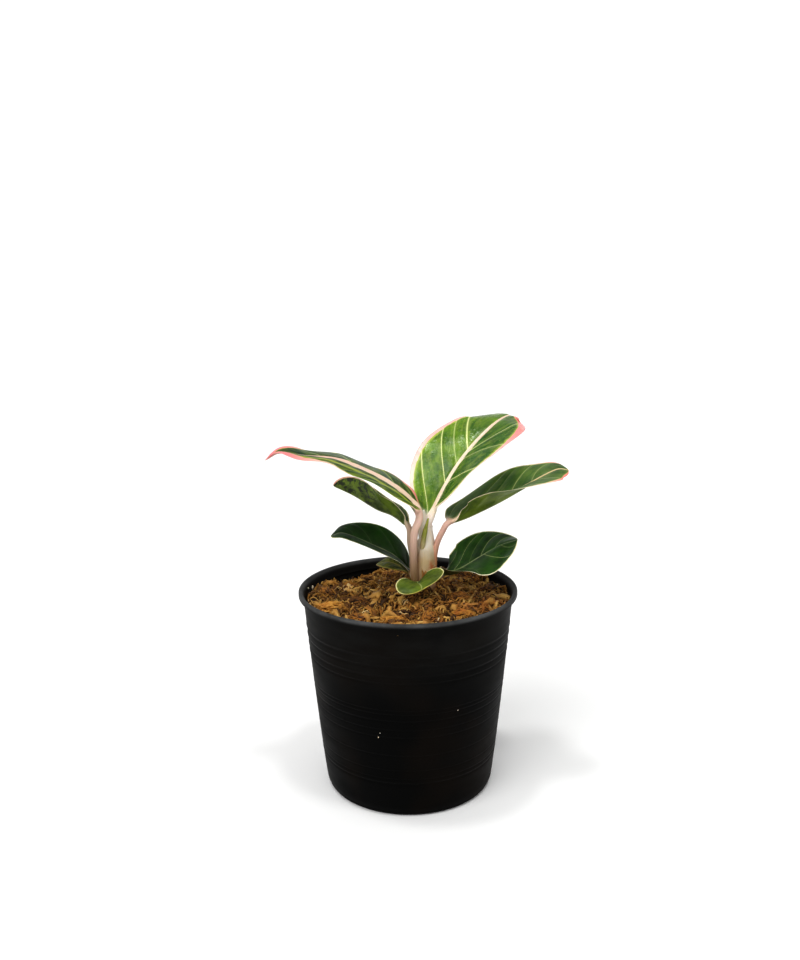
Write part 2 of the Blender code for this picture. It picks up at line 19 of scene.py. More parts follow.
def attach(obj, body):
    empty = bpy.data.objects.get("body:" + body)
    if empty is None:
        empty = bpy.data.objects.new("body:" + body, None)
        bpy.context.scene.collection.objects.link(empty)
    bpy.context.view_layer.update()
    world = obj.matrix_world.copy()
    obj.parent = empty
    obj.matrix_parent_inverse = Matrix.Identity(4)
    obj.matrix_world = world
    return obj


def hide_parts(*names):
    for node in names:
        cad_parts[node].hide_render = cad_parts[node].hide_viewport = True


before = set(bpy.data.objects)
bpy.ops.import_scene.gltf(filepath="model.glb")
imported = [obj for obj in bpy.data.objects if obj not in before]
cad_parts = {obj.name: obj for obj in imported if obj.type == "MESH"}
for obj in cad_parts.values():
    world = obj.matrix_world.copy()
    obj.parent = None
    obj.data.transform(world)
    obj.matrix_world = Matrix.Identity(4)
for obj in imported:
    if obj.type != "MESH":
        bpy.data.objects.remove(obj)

LOG = logging.getLogger("potted_aglaonema")
MM = 0.001
TAU = math.tau
BODY = "root"
MERGE = 0.002

Pair = tuple[float, float]
Point = tuple[float, float, float]
Triple = tuple[float, float, float]
Colour = tuple[float, float, float, float]


def srgb(red: int, green: int, blue: int) -> Colour:
    """Linear colour of a screen colour given as 0 to 255."""
    linear = [(c / 3294.6 if c <= 10 else ((c / 255 + 0.055) / 1.055) ** 2.4) for c in (red, green, blue)]
    return (*linear, 1.0)


# Shader building


class Wire:
    """A value inside a material; arithmetic on it adds Math nodes."""

    def __init__(self, tree: "Tree", socket: bpy.types.NodeSocket) -> None:
        """Wrap a socket of a tree."""
        self.tree, self.socket = tree, socket

    def math(self, operation: str, *values: "Wire | float") -> "Wire":
        """One Math node of the given operation on this value and the others."""
        return self.tree.add("ShaderNodeMath", {"operation": operation}, dict(enumerate((self, *values))))

    def __add__(self, other: "Wire | float") -> "Wire":
        """Sum."""
        return self.math("ADD", other)

    __radd__ = __add__

    def __sub__(self, other: "Wire | float") -> "Wire":
        """Difference."""
        return self.math("SUBTRACT", other)

    def __rsub__(self, other: float) -> "Wire":
        """A number less this value."""
        return self.tree.add("ShaderNodeMath", {"operation": "SUBTRACT"}, {0: other, 1: self})

    def __mul__(self, other: "Wire | float") -> "Wire":
        """Product."""
        return self.math("MULTIPLY", other)

    __rmul__ = __mul__

    def step(self, low: float, high: float, start: float = 0.0, end: float = 1.0) -> "Wire":
        """Smooth step from start to end as this value goes from low to high."""
        return self.tree.add("ShaderNodeMapRange", {"interpolation_type": "SMOOTHSTEP"}, {
            "Value": self, "From Min": low, "From Max": high, "To Min": start, "To Max": end})


class Tree:
    """The nodes of one material."""

    def __init__(self, name: str) -> None:
        """Start a material without nodes."""
        self.material = bpy.data.materials.new(name)
        self.material.use_nodes = True
        self.nodes = self.material.node_tree.nodes
        self.links = self.material.node_tree.links
        self.nodes.clear()

    def add(self, kind: str, settings: dict | None = None, sockets: dict | None = None,
            output: int | str = 0) -> Wire:
        """Add a node.

        Args:
            kind: the node's type.
            settings: its own properties, set first; "stops" are a colour ramp's places and colours.
            sockets: values or wires by socket name or index.
            output: which of its outputs is wanted.

        Returns:
            That output as a wire.
        """
        node = self.nodes.new(kind)
        for key, value in (settings or {}).items():
            if key == "stops":
                self._set_stops(node.color_ramp, value)
            else:
                setattr(node, key, value)
        for key, value in (sockets or {}).items():
            if isinstance(value, Wire):
                self.links.new(value.socket, node.inputs[key])
            else:
                node.inputs[key].default_value = value
        return Wire(self, node.outputs[output])

    @staticmethod
    def _set_stops(ramp: bpy.types.ColorRamp, stops: Sequence[tuple[float, Colour]]) -> None:
        """Give a new colour ramp its stops.

        Args:
            ramp: the ramp.
            stops: places from 0 to 1, each with its colour.
        """
        while len(ramp.elements) > 1:
            ramp.elements.remove(ramp.elements[-1])
        ramp.elements[0].position, ramp.elements[0].color = stops[0]
        for position, colour in stops[1:]:
            ramp.elements.new(position).color = colour

    def read(self, name: str) -> Wire:
        """A number that the mesh carries under this name."""
        return self.add("ShaderNodeAttribute", {"attribute_name": name}, output="Fac")

    def place(self) -> Wire:
        """Object coordinates."""
        return self.add("ShaderNodeTexCoord", output="Object")

    def axis(self, index: int) -> Wire:
        """Object coordinate along X (0), Y (1) or Z (2)."""
        return self.add("ShaderNodeSeparateXYZ", None, {0: self.place()}, output=index)

    def vector(self, x: Wire | float, y: Wire | float, z: Wire | float) -> Wire:
        """A vector of three values."""
        return self.add("ShaderNodeCombineXYZ", None, {0: x, 1: y, 2: z})

    def stretched(self, scale: Triple) -> Wire:
        """Object coordinates, scaled along each axis."""
        return self.add("ShaderNodeMapping", None, {"Vector": self.place(), "Scale": scale})

    def noise(self, scale: float, detail: float = 3.0, roughness: float = 0.55, vector: Wire | None = None,
              distortion: float = 0.0) -> Wire:
        """Noise from 0 to 1, on Object coordinates unless a vector is given."""
        return self.add("ShaderNodeTexNoise", None, {
            "Vector": vector or self.place(), "Scale": scale, "Detail": detail, "Roughness": roughness,
            "Distortion": distortion})

    def mix(self, factor: Wire | float, first: Wire | Colour, second: Wire | Colour) -> Wire:
        """Colour between first and second."""
        return self.add("ShaderNodeMix", {"data_type": "RGBA"}, {0: factor, 6: first, 7: second}, output=2)

    def ramp(self, value: Wire, stops: Sequence[tuple[float, Colour]]) -> Wire:
        """Colour from a ramp."""
        return self.add("ShaderNodeValToRGB", {"stops": stops}, {"Fac": value})

    def bump(self, height: Wire, distance: float, strength: float = 1.0) -> Wire:
        """Normal of a height in millimetres times distance."""
        return self.add("ShaderNodeBump", None, {"Height": height, "Distance": distance * MM,
                                                 "Strength": strength})

    def finish(self, colour: Wire | Colour, roughness: Wire | float, normal: Wire | None = None,
               constants: dict | None = None) -> bpy.types.Material:
        """Close the material with a Principled shader.

        Args:
            colour: base colour.
            roughness: roughness.
            normal: bumped normal.
            constants: values of other shader sockets that are the same all over.

        Returns:
            The finished material.
        """
        sockets = {"Base Color": colour, "Roughness": roughness, **(constants or {})}
        if normal:
            sockets["Normal"] = normal
        shader = self.add("ShaderNodeBsdfPrincipled", None, sockets)
        output = self.nodes.new("ShaderNodeOutputMaterial")
        self.links.new(shader.socket, output.inputs["Surface"])
        return self.material


def soaked(weight: float, radius: Triple, scale: float) -> dict[str, float | Triple]:
    """Shader values of a finish that light soaks into.

    Args:
        weight: how much of the light does.
        radius: how far red, green and blue light go, as shares of the scale.
        scale: distance in metres.

    Returns:
        Values by socket name.
    """
    return {"Subsurface Weight": weight, "Subsurface Radius": radius, "Subsurface Scale": scale}


# Curves and meshes


def smooth_curve(points: Sequence[Sequence[float]], steps: int) -> np.ndarray:
    """Points on a Catmull-Rom curve through the given ones, steps to each span.

    Args:
        points: places that the curve passes through.
        steps: points for each span.

    Returns:
        Points on the curve, its end included.
    """
    knots = np.asarray(points, float)
    knots = np.vstack([2 * knots[0] - knots[1], knots, 2 * knots[-1] - knots[-2]])
    t = np.arange(steps)[:, None] / steps
    spans = []
    for before, here, there, after in zip(knots, knots[1:], knots[2:], knots[3:]):
        spans.append(0.5 * (2 * here + t * (there - before)
                            + t * t * (2 * before - 5 * here + 4 * there - after)
                            + t ** 3 * (3 * here - before - 3 * there + after)))
    return np.vstack([*spans, knots[-2][None]])


def smooth_value(values: Triple, share: np.ndarray) -> np.ndarray:
    """The value at each share of the way along three values, on a smooth curve.

    Args:
        values: at the start, the middle and the end.
        share: shares of the way.

    Returns:
        A value for each share.
    """
    start, middle, end = values
    return (start * (1 - share) * (1 - 2 * share) + 4 * middle * share * (1 - share)
            + end * share * (2 * share - 1))


def curve_length(curve: np.ndarray) -> np.ndarray:
    """Length along a curve at each of its points."""
    return np.concatenate([[0.0], np.cumsum(np.linalg.norm(np.diff(curve, axis=0), axis=1))])


def resample(curve: np.ndarray, shares: np.ndarray) -> np.ndarray:
    """Points at the given shares of a curve's length."""
    lengths = curve_length(curve)
    return np.stack([np.interp(shares * lengths[-1], lengths, column) for column in curve.T], axis=-1)


def unit(vectors: np.ndarray) -> np.ndarray:
    """Vectors scaled to length one."""
    return vectors / np.linalg.norm(vectors, axis=-1, keepdims=True)


def tangents(points: np.ndarray) -> np.ndarray:
    """Direction of a curve, or of each curve of a stack, at each of its points."""
    ends = np.concatenate([points[..., :1, :], points, points[..., -1:, :]], axis=-2)
    return unit(ends[..., 2:, :] - ends[..., :-2, :])


def ease(value: np.ndarray) -> np.ndarray:
    """Smooth step of a value from 0 to 1."""
    clipped = np.clip(value, 0.0, 1.0)
    return clipped * clipped * (3 - 2 * clipped)


def bell(value: np.ndarray, width: float) -> np.ndarray:
    """Bell curve that is 1 at 0."""
    return np.exp(-(value / width) ** 2)


def scatter_noise(points: np.ndarray, spacing: float, layer: float = 0.0) -> np.ndarray:
    """Noise from -1 to 1 at points in millimetres, with lumps about one spacing apart.

    Args:
        points: places, in an array of any shape by 3.
        spacing: distance between lumps.
        layer: picks another pattern.

    Returns:
        A value for each point.
    """
    shift = Vector((layer * 17.3, layer * 5.1, layer * 9.7))
    values = [noise.noise(Vector(point) / spacing + shift) for point in points.reshape(-1, 3)]
    return np.array(values).reshape(points.shape[:-1])


def make_object(name: str, bm: bmesh.types.BMesh) -> bpy.types.Object:
    """Finish a bmesh as a smooth object.

    Args:
        name: the object's name.
        bm: its shape in metres, which is freed.

    Returns:
        The object, linked to the scene.
    """
    mesh = bpy.data.meshes.new(name)
    bm.to_mesh(mesh)
    bm.free()
    mesh.shade_smooth()
    piece = bpy.data.objects.new(name, mesh)
    bpy.context.scene.collection.objects.link(piece)
    return piece


def applied(piece: bpy.types.Object) -> bpy.types.Mesh:
    """A new mesh of an object with its modifiers applied."""
    return bpy.data.meshes.new_from_object(piece.evaluated_get(bpy.context.evaluated_depsgraph_get()))


def spread_copies(bm: bmesh.types.BMesh, points: np.ndarray, values: dict[str, np.ndarray]) -> None:
    """Turn a shape into copies of itself, and move their points to the given places.

    Args:
        bm: the shape, which becomes all the copies, one after the other.
        points: a place in millimetres for each point of each copy.
        values: numbers for the same points, kept on the mesh by name.
    """
    count = points.size // (3 * len(bm.verts))
    mesh = bpy.data.meshes.new("copies")
    bm.to_mesh(mesh)
    if count > 1:
        holder = bpy.data.objects.new("copies", mesh)
        bpy.context.scene.collection.objects.link(holder)
        array = holder.modifiers.new("copies", "ARRAY")
        array.count, array.use_merge_vertices = count, False
        single, mesh = mesh, applied(holder)
        bpy.data.objects.remove(holder)
        bpy.data.meshes.remove(single)
    mesh.vertices.foreach_set("co", (points * MM).astype(np.float32).ravel())
    for key, numbers in values.items():
        attribute = mesh.attributes.new(key, "FLOAT", "POINT")
        attribute.data.foreach_set("value", numbers.astype(np.float32).ravel())
    bm.clear()
    bm.from_mesh(mesh)
    bpy.data.meshes.remove(mesh)


def skin(points: np.ndarray, values: dict[str, np.ndarray] | None = None) -> bmesh.types.BMesh:
    """Wrap a grid round each shape whose last column meets its first and whose end rows are single points.

    Args:
        points: rows by columns by 3, in millimetres, or copies by rows by columns by 3.
        values: numbers for each point, kept on the mesh by name.

    Returns:
        The closed shapes in metres.
    """
    rows, columns = points.shape[-3:-1]
    bm = bmesh.new()
    bmesh.ops.create_grid(bm, x_segments=columns - 1, y_segments=rows - 1, size=1.0)
    spread_copies(bm, points, values or {})
    bmesh.ops.remove_doubles(bm, verts=bm.verts, dist=MERGE * MM)
    bmesh.ops.recalc_face_normals(bm, faces=bm.faces)
    return bm


def tube_points(path: np.ndarray, half_wide: np.ndarray, half_deep: np.ndarray, sides: int,
                twist: np.ndarray | float = 0.0) -> np.ndarray:
    """Rows of rings round a path, or round each path of a stack, closed to a point at both ends.

    Args:
        path: points of the middle line.
        half_wide: half width at each point.
        half_deep: half depth at each point.
        sides: points round a ring.
        twist: turn of the section at each point, in radians.

    Returns:
        Rows by sides + 1 by 3 points, for each path.
    """
    forward = tangents(path)
    steady = np.array([0.0, 0.0, 1.0]) if abs(forward[..., 2]).mean() < 0.8 else np.array([0.0, 1.0, 0.0])
    side = unit(np.cross(forward, steady))
    up = np.cross(side, forward)
    angle = np.linspace(0, TAU, sides + 1)
    spin = (np.zeros(path.shape[:-1]) + twist)[..., None]
    wide_axis = side * np.cos(spin) + up * np.sin(spin)
    deep_axis = up * np.cos(spin) - side * np.sin(spin)
    points = (path[..., None, :] + (half_wide[..., None] * np.cos(angle))[..., None] * wide_axis[..., None, :]
              + (half_deep[..., None] * np.sin(angle))[..., None] * deep_axis[..., None, :])
    return close_ends(points)


def close_ends(points: np.ndarray) -> np.ndarray:
    """Draw the first and the last ring of each shape to single points."""
    for end in (0, -1):
        points[..., end, :, :] = points[..., end, :, :].mean(axis=-2, keepdims=True)
    return points


def cap_ends(points: np.ndarray) -> np.ndarray:
    """Add a row of single points at the middle of the first and of the last ring.

    Args:
        points: rows by columns by 3, the last column as the first.

    Returns:
        The rows with one more at each end.
    """
    first, last = (np.broadcast_to(ring[:, :-1].mean(axis=1, keepdims=True), ring.shape)
                   for ring in (points[:1], points[-1:]))
    return np.concatenate([first, points, last])


def lathe(profile: Sequence[Pair], steps: int) -> bmesh.types.BMesh:
    """Spin an outline of (radius, height) points in millimetres that starts and ends on the Z axis.

    Args:
        profile: the outline.
        steps: segments round the axis.

    Returns:
        The closed shape in metres.
    """
    bm = bmesh.new()
    verts = [bm.verts.new((radius * MM, 0, height * MM)) for radius, height in profile]
    edges = [bm.edges.new(pair) for pair in zip(verts, verts[1:])]
    bmesh.ops.spin(bm, geom=verts + edges, cent=(0, 0, 0), axis=(0, 0, 1), angle=TAU, steps=steps,
                   use_merge=True)
    bmesh.ops.remove_doubles(bm, verts=bm.verts, dist=MERGE * MM)
    bmesh.ops.recalc_face_normals(bm, faces=bm.faces)
    return bm


def place_piece(piece: bpy.types.Object, material: bpy.types.Material, slot: str, *nodes: str) -> None:
    """Dress a finished piece, let it ride on the body, hide the CAD nodes that it stands for and log its
    triangle count and slot.

    Args:
        piece: the finished piece.
        material: its finish.
        slot: the finish's slot, which is only written to the log.
        nodes: CAD nodes that it stands for.
    """
    piece.data.materials.append(material)
    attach(piece, BODY)
    if nodes:
        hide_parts(*nodes)
    triangles = sum(len(face.vertices) - 2 for face in piece.data.polygons)
    LOG.info("%s: %d triangles, slot %s", piece.name, triangles, slot)


# Leaves


class Side(Enum):
    """The two halves of a blade, seen from the petiole towards the tip."""

    LEFT = 1
    RIGHT = -1


@dataclass(frozen=True)
class LeafFinish:
    """Colours of one leaf, and how strongly its pattern shows.

    Widths are in millimetres. right is the deep and the bright green of the right half where it differs,
    and line is the place and the half width of a pale line, as shares of the way to the left margin.
    """

    deep: Colour
    bright: Colour
    fringe: Colour
    vein: Colour
    rib_base: Colour
    rib_tip: Colour
    margin_base: Colour
    margin_tip: Colour
    under_deep: Colour
    under_bright: Colour
    stalk_foot: Colour
    stalk_top: Colour
    vein_strength: float = 0.8
    vein_half_width: float = 0.26
    streaks: float = 0.25
    mottle: float = 0.0
    flecks: float = 0.0
    roughness: float = 0.36
    right: tuple[Colour, Colour] | None = None
    line: Pair | None = None
    fringe_width: float = 0.75
    pebbles: float = 0.5
    gloss: float = 0.36

    def lamina(self, tree: Tree) -> Wire:
        """Green of the upper face: clouds, streaks along the side veins, mottling and pale flecks.

        Args:
            tree: the material's nodes.

        Returns:
            The colour.
        """
        along_veins = tree.vector(tree.read("flow") * 1.5, tree.read("rib") * 0.08, tree.read("across"))
        streak = tree.noise(2.6, 4.0, 0.6, along_veins).step(0.40, 0.66)
        clouds = tree.noise(95.0, 4.0, 0.6).step(0.3, 0.7)
        green = tree.mix(clouds, self.deep, self.bright)
        if self.right:
            green = tree.mix(tree.read("across").step(0.02, -0.02), green, tree.mix(clouds, *self.right))
        green = tree.mix(streak * self.streaks, green, self.fringe)
        if self.line:
            centre, half = self.line
            wander = (tree.noise(120.0, 3.0, 0.6) - 0.5) * 0.12
            away = (tree.read("across") + wander - centre).math("ABSOLUTE")
            green = tree.mix(away.step(half, half * 0.3) * 0.75, green, self.fringe)
        if self.mottle:
            dark = tree.noise(420.0, 3.0, 0.6, distortion=0.4).step(0.52, 0.60) * self.mottle
            green = tree.mix(dark, green, srgb(14, 24, 8))
        if self.flecks:
            fleck = tree.noise(1500.0, 2.0, 0.5).step(0.66, 0.74) * self.flecks
            green = tree.mix(fleck, green, self.fringe)
        return green

    def build(self, name: str) -> bpy.types.Material:
        """Make the material.

        Args:
            name: the material's name.

        Returns:
            The material.
        """
        tree = Tree(name)
        wobble = tree.noise(260.0, 3.0, 0.6) - 0.5
        fine = tree.noise(900.0, 2.0, 0.5) - 0.5
        nearest = ((tree.read("flow") + 0.5).math("FRACT") - 0.5).math("ABSOLUTE") * tree.read("gap")
        force = tree.read("force")
        vein = nearest.step(self.vein_half_width + 0.14, self.vein_half_width - 0.12) * force
        vein_halo = nearest.step(1.5, 0.1) * min(0.16, self.vein_half_width * 0.5) * force
        rim = tree.read("margin") + wobble * 1.1 + fine * 0.4
        margin = rim.step(0.14, -0.10)
        ragged = tree.read("margin") + (tree.noise(190.0, 3.0, 0.7) - 0.5) * 2.4 * self.fringe_width
        fringe = ragged.step(self.fringe_width * 1.2, -0.05)
        rib = (tree.read("midrib") + wobble * 0.35).step(0.10, -0.14)
        blush = tree.read("blush")
        green = tree.mix(fringe * 0.75, self.lamina(tree), self.fringe)
        green = tree.mix((vein + vein_halo).math("MINIMUM", 1.0) * self.vein_strength, green, self.vein)
        edge = tree.mix((blush + wobble * 0.3).step(0.1, 0.9), self.margin_base, self.margin_tip)
        upper = tree.mix(margin, green, edge)
        along = tree.read("along")
        rib_colour = tree.mix((along + wobble * 0.2).step(0.25, 0.75), self.rib_base, self.rib_tip)
        rib_lines = tree.noise(1.0, 3.0, 0.6, tree.vector(tree.read("rib") * 1.8, along * 3.0, 0.0))
        rib_colour = tree.mix(rib_lines.step(0.4, 0.7) * 0.35, rib_colour, self.margin_base)
        upper = tree.mix(rib, upper, rib_colour)
        under_green = tree.mix(tree.noise(160.0, 4.0, 0.6).step(0.3, 0.7), self.under_deep, self.under_bright)
        under_green = tree.mix(vein * 0.5, under_green, self.under_bright)
        if self.mottle:
            under_green = tree.mix(tree.noise(300.0, 3.0, 0.6, distortion=0.5).step(0.49, 0.55) * self.mottle
                                   * along.step(0.30, 0.62), under_green, srgb(14, 18, 5))
        lower = tree.mix(rim.step(0.05, -0.15) * 0.8, under_green, edge)
        lower = tree.mix(rib * 0.7, lower, tree.mix(0.5, self.under_bright, self.rib_base))
        blade = tree.mix(tree.read("under"), upper, lower)
        stalk = self.stalk(tree)
        colour = tree.mix(tree.read("stalk"), blade, stalk)
        down_veins = tree.vector(tree.read("flow") * 5.0, tree.read("rib") * 0.3, 0.0)
        skin_lines = tree.noise(2.0, 3.0, 0.6, down_veins)
        height = tree.noise(700.0, 3.0, 0.6) * 0.7 + skin_lines * 0.5 + tree.noise(2200.0, 2.0, 0.5) * 0.35
        height = height + tree.noise(330.0, 2.0, 0.5) * (2.0 * self.pebbles)
        height = height - vein * 0.35
        roughness = (tree.noise(140.0, 3.0, 0.6).step(0.3, 0.7, self.roughness - 0.05, self.roughness + 0.10)
                     + tree.read("under") * 0.14)
        return tree.finish(colour, roughness, tree.bump(height, 0.11, 0.8), {
            **soaked(0.10, (1.0, 1.6, 0.5), 0.0012), "Specular IOR Level": self.gloss})

    def stalk(self, tree: Tree) -> Wire:
        """Colour of the petiole: fine lines along it, browner towards its foot.

        Args:
            tree: the material's nodes.

        Returns:
            The colour.
        """
        along = tree.read("along")
        lines = tree.noise(1.0, 4.0, 0.65, tree.vector(tree.read("across") * 5.0, along * 1.4, 0.0))
        down = (along + (lines - 0.5) * 0.35).step(-0.95, -0.15)
        colour = tree.mix(down, self.stalk_foot, self.stalk_top)
        return tree.mix(lines.step(0.5, 0.75) * 0.45, colour, self.rib_base)


GREEN_TOP = LeafFinish(
    deep=srgb(50, 92, 0), bright=srgb(98, 136, 4), fringe=srgb(186, 200, 84), vein=srgb(226, 230, 160),
    rib_base=srgb(240, 226, 206), rib_tip=srgb(230, 204, 180), margin_base=srgb(238, 222, 204),
    margin_tip=srgb(238, 150, 148), under_deep=srgb(70, 100, 40), under_bright=srgb(120, 140, 80),
    stalk_foot=srgb(214, 196, 168), stalk_top=srgb(234, 222, 212), vein_strength=0.88, vein_half_width=0.30,
    # right: the right half's darker greens are partly the leaf's own colour and partly painted shade on the
    # half turned from the light.
    streaks=0.22, flecks=0.5, roughness=0.24, right=(srgb(32, 76, 8), srgb(58, 104, 24)), fringe_width=1.3,
    pebbles=1.7, gloss=0.46)
BLUE_LONG = LeafFinish(
    deep=srgb(34, 62, 14), bright=srgb(62, 90, 22), fringe=srgb(166, 176, 62), vein=srgb(186, 198, 120),
    rib_base=srgb(228, 202, 180), rib_tip=srgb(226, 188, 170), margin_base=srgb(234, 208, 188),
    margin_tip=srgb(236, 140, 142), under_deep=srgb(60, 74, 36), under_bright=srgb(110, 122, 66),
    stalk_foot=srgb(132, 104, 68), stalk_top=srgb(218, 186, 170), vein_strength=0.75, vein_half_width=0.3,
    streaks=0.28, flecks=0.1, roughness=0.40, right=(srgb(16, 50, 24), srgb(32, 72, 34)), line=(0.56, 0.11))
GREY_RIGHT = LeafFinish(
    deep=srgb(46, 80, 30), bright=srgb(84, 114, 52), fringe=srgb(168, 174, 88), vein=srgb(190, 196, 130),
    rib_base=srgb(204, 196, 146), rib_tip=srgb(208, 186, 140), margin_base=srgb(234, 214, 184),
    margin_tip=srgb(230, 138, 130), under_deep=srgb(68, 88, 12), under_bright=srgb(108, 126, 34),
    stalk_foot=srgb(186, 120, 74), stalk_top=srgb(216, 176, 162), vein_strength=0.75, vein_half_width=0.2,
    streaks=0.15, roughness=0.36)
DARK_OLIVE = LeafFinish(
    deep=srgb(30, 48, 10), bright=srgb(70, 90, 26), fringe=srgb(124, 132, 62), vein=srgb(128, 140, 90),
    rib_base=srgb(190, 184, 150), rib_tip=srgb(130, 140, 90), margin_base=srgb(222, 206, 176),
    margin_tip=srgb(226, 168, 150), under_deep=srgb(46, 62, 6), under_bright=srgb(104, 124, 26),
    stalk_foot=srgb(170, 142, 108), stalk_top=srgb(206, 180, 160), vein_strength=0.4, vein_half_width=0.2,
    streaks=0.12, mottle=0.85, roughness=0.42)
DARK_LOW = LeafFinish(
    deep=srgb(6, 30, 2), bright=srgb(22, 58, 8), fringe=srgb(104, 118, 66), vein=srgb(112, 128, 90),
    rib_base=srgb(116, 128, 96), rib_tip=srgb(96, 112, 84), margin_base=srgb(206, 200, 162),
    margin_tip=srgb(150, 156, 110), under_deep=srgb(40, 50, 20), under_bright=srgb(84, 94, 48),
    stalk_foot=srgb(150, 130, 90), stalk_top=srgb(190, 176, 140), vein_strength=0.24, vein_half_width=0.16,
    streaks=0.04, roughness=0.42, fringe_width=0.5, gloss=0.28)
DARK_RIGHT = LeafFinish(
    deep=srgb(6, 36, 3), bright=srgb(34, 72, 10), fringe=srgb(100, 122, 50), vein=srgb(176, 188, 124),
    rib_base=srgb(90, 112, 60), rib_tip=srgb(74, 100, 46), margin_base=srgb(234, 224, 192),
    margin_tip=srgb(214, 200, 160), under_deep=srgb(46, 54, 14), under_bright=srgb(84, 90, 36),
    stalk_foot=srgb(160, 140, 96), stalk_top=srgb(206, 196, 160), vein_strength=0.7, vein_half_width=0.09,
    streaks=0.08, roughness=0.40, fringe_width=0.5, gloss=0.28)
SMALL_FRONT = LeafFinish(
    deep=srgb(34, 58, 18), bright=srgb(96, 116, 30), fringe=srgb(170, 172, 60), vein=srgb(124, 136, 62),
    rib_base=srgb(120, 140, 80), rib_tip=srgb(150, 160, 90), margin_base=srgb(222, 218, 160),
    margin_tip=srgb(206, 194, 96), under_deep=srgb(70, 90, 30), under_bright=srgb(120, 132, 60),
    stalk_foot=srgb(150, 130, 80), stalk_top=srgb(180, 176, 110), vein_strength=0.12, vein_half_width=0.12,
    streaks=0.15, roughness=0.42, fringe_width=0.4)
OLD_BACK = LeafFinish(
    deep=srgb(34, 48, 6), bright=srgb(92, 102, 18), fringe=srgb(156, 154, 44), vein=srgb(140, 138, 66),
    rib_base=srgb(160, 150, 80), rib_tip=srgb(140, 130, 60), margin_base=srgb(160, 142, 72),
    margin_tip=srgb(140, 110, 50), under_deep=srgb(60, 62, 20), under_bright=srgb(110, 108, 40),
    stalk_foot=srgb(120, 92, 44), stalk_top=srgb(150, 130, 60), vein_strength=0.3, vein_half_width=0.15,
    streaks=0.35, mottle=0.4, roughness=0.5)


@dataclass(frozen=True)
class Vein:
    """A side vein: shares of the blade where it starts and where it would end, its strength and its bend."""

    start: float
    end: float
    strength: float = 1.0
    bend: float = 1.12


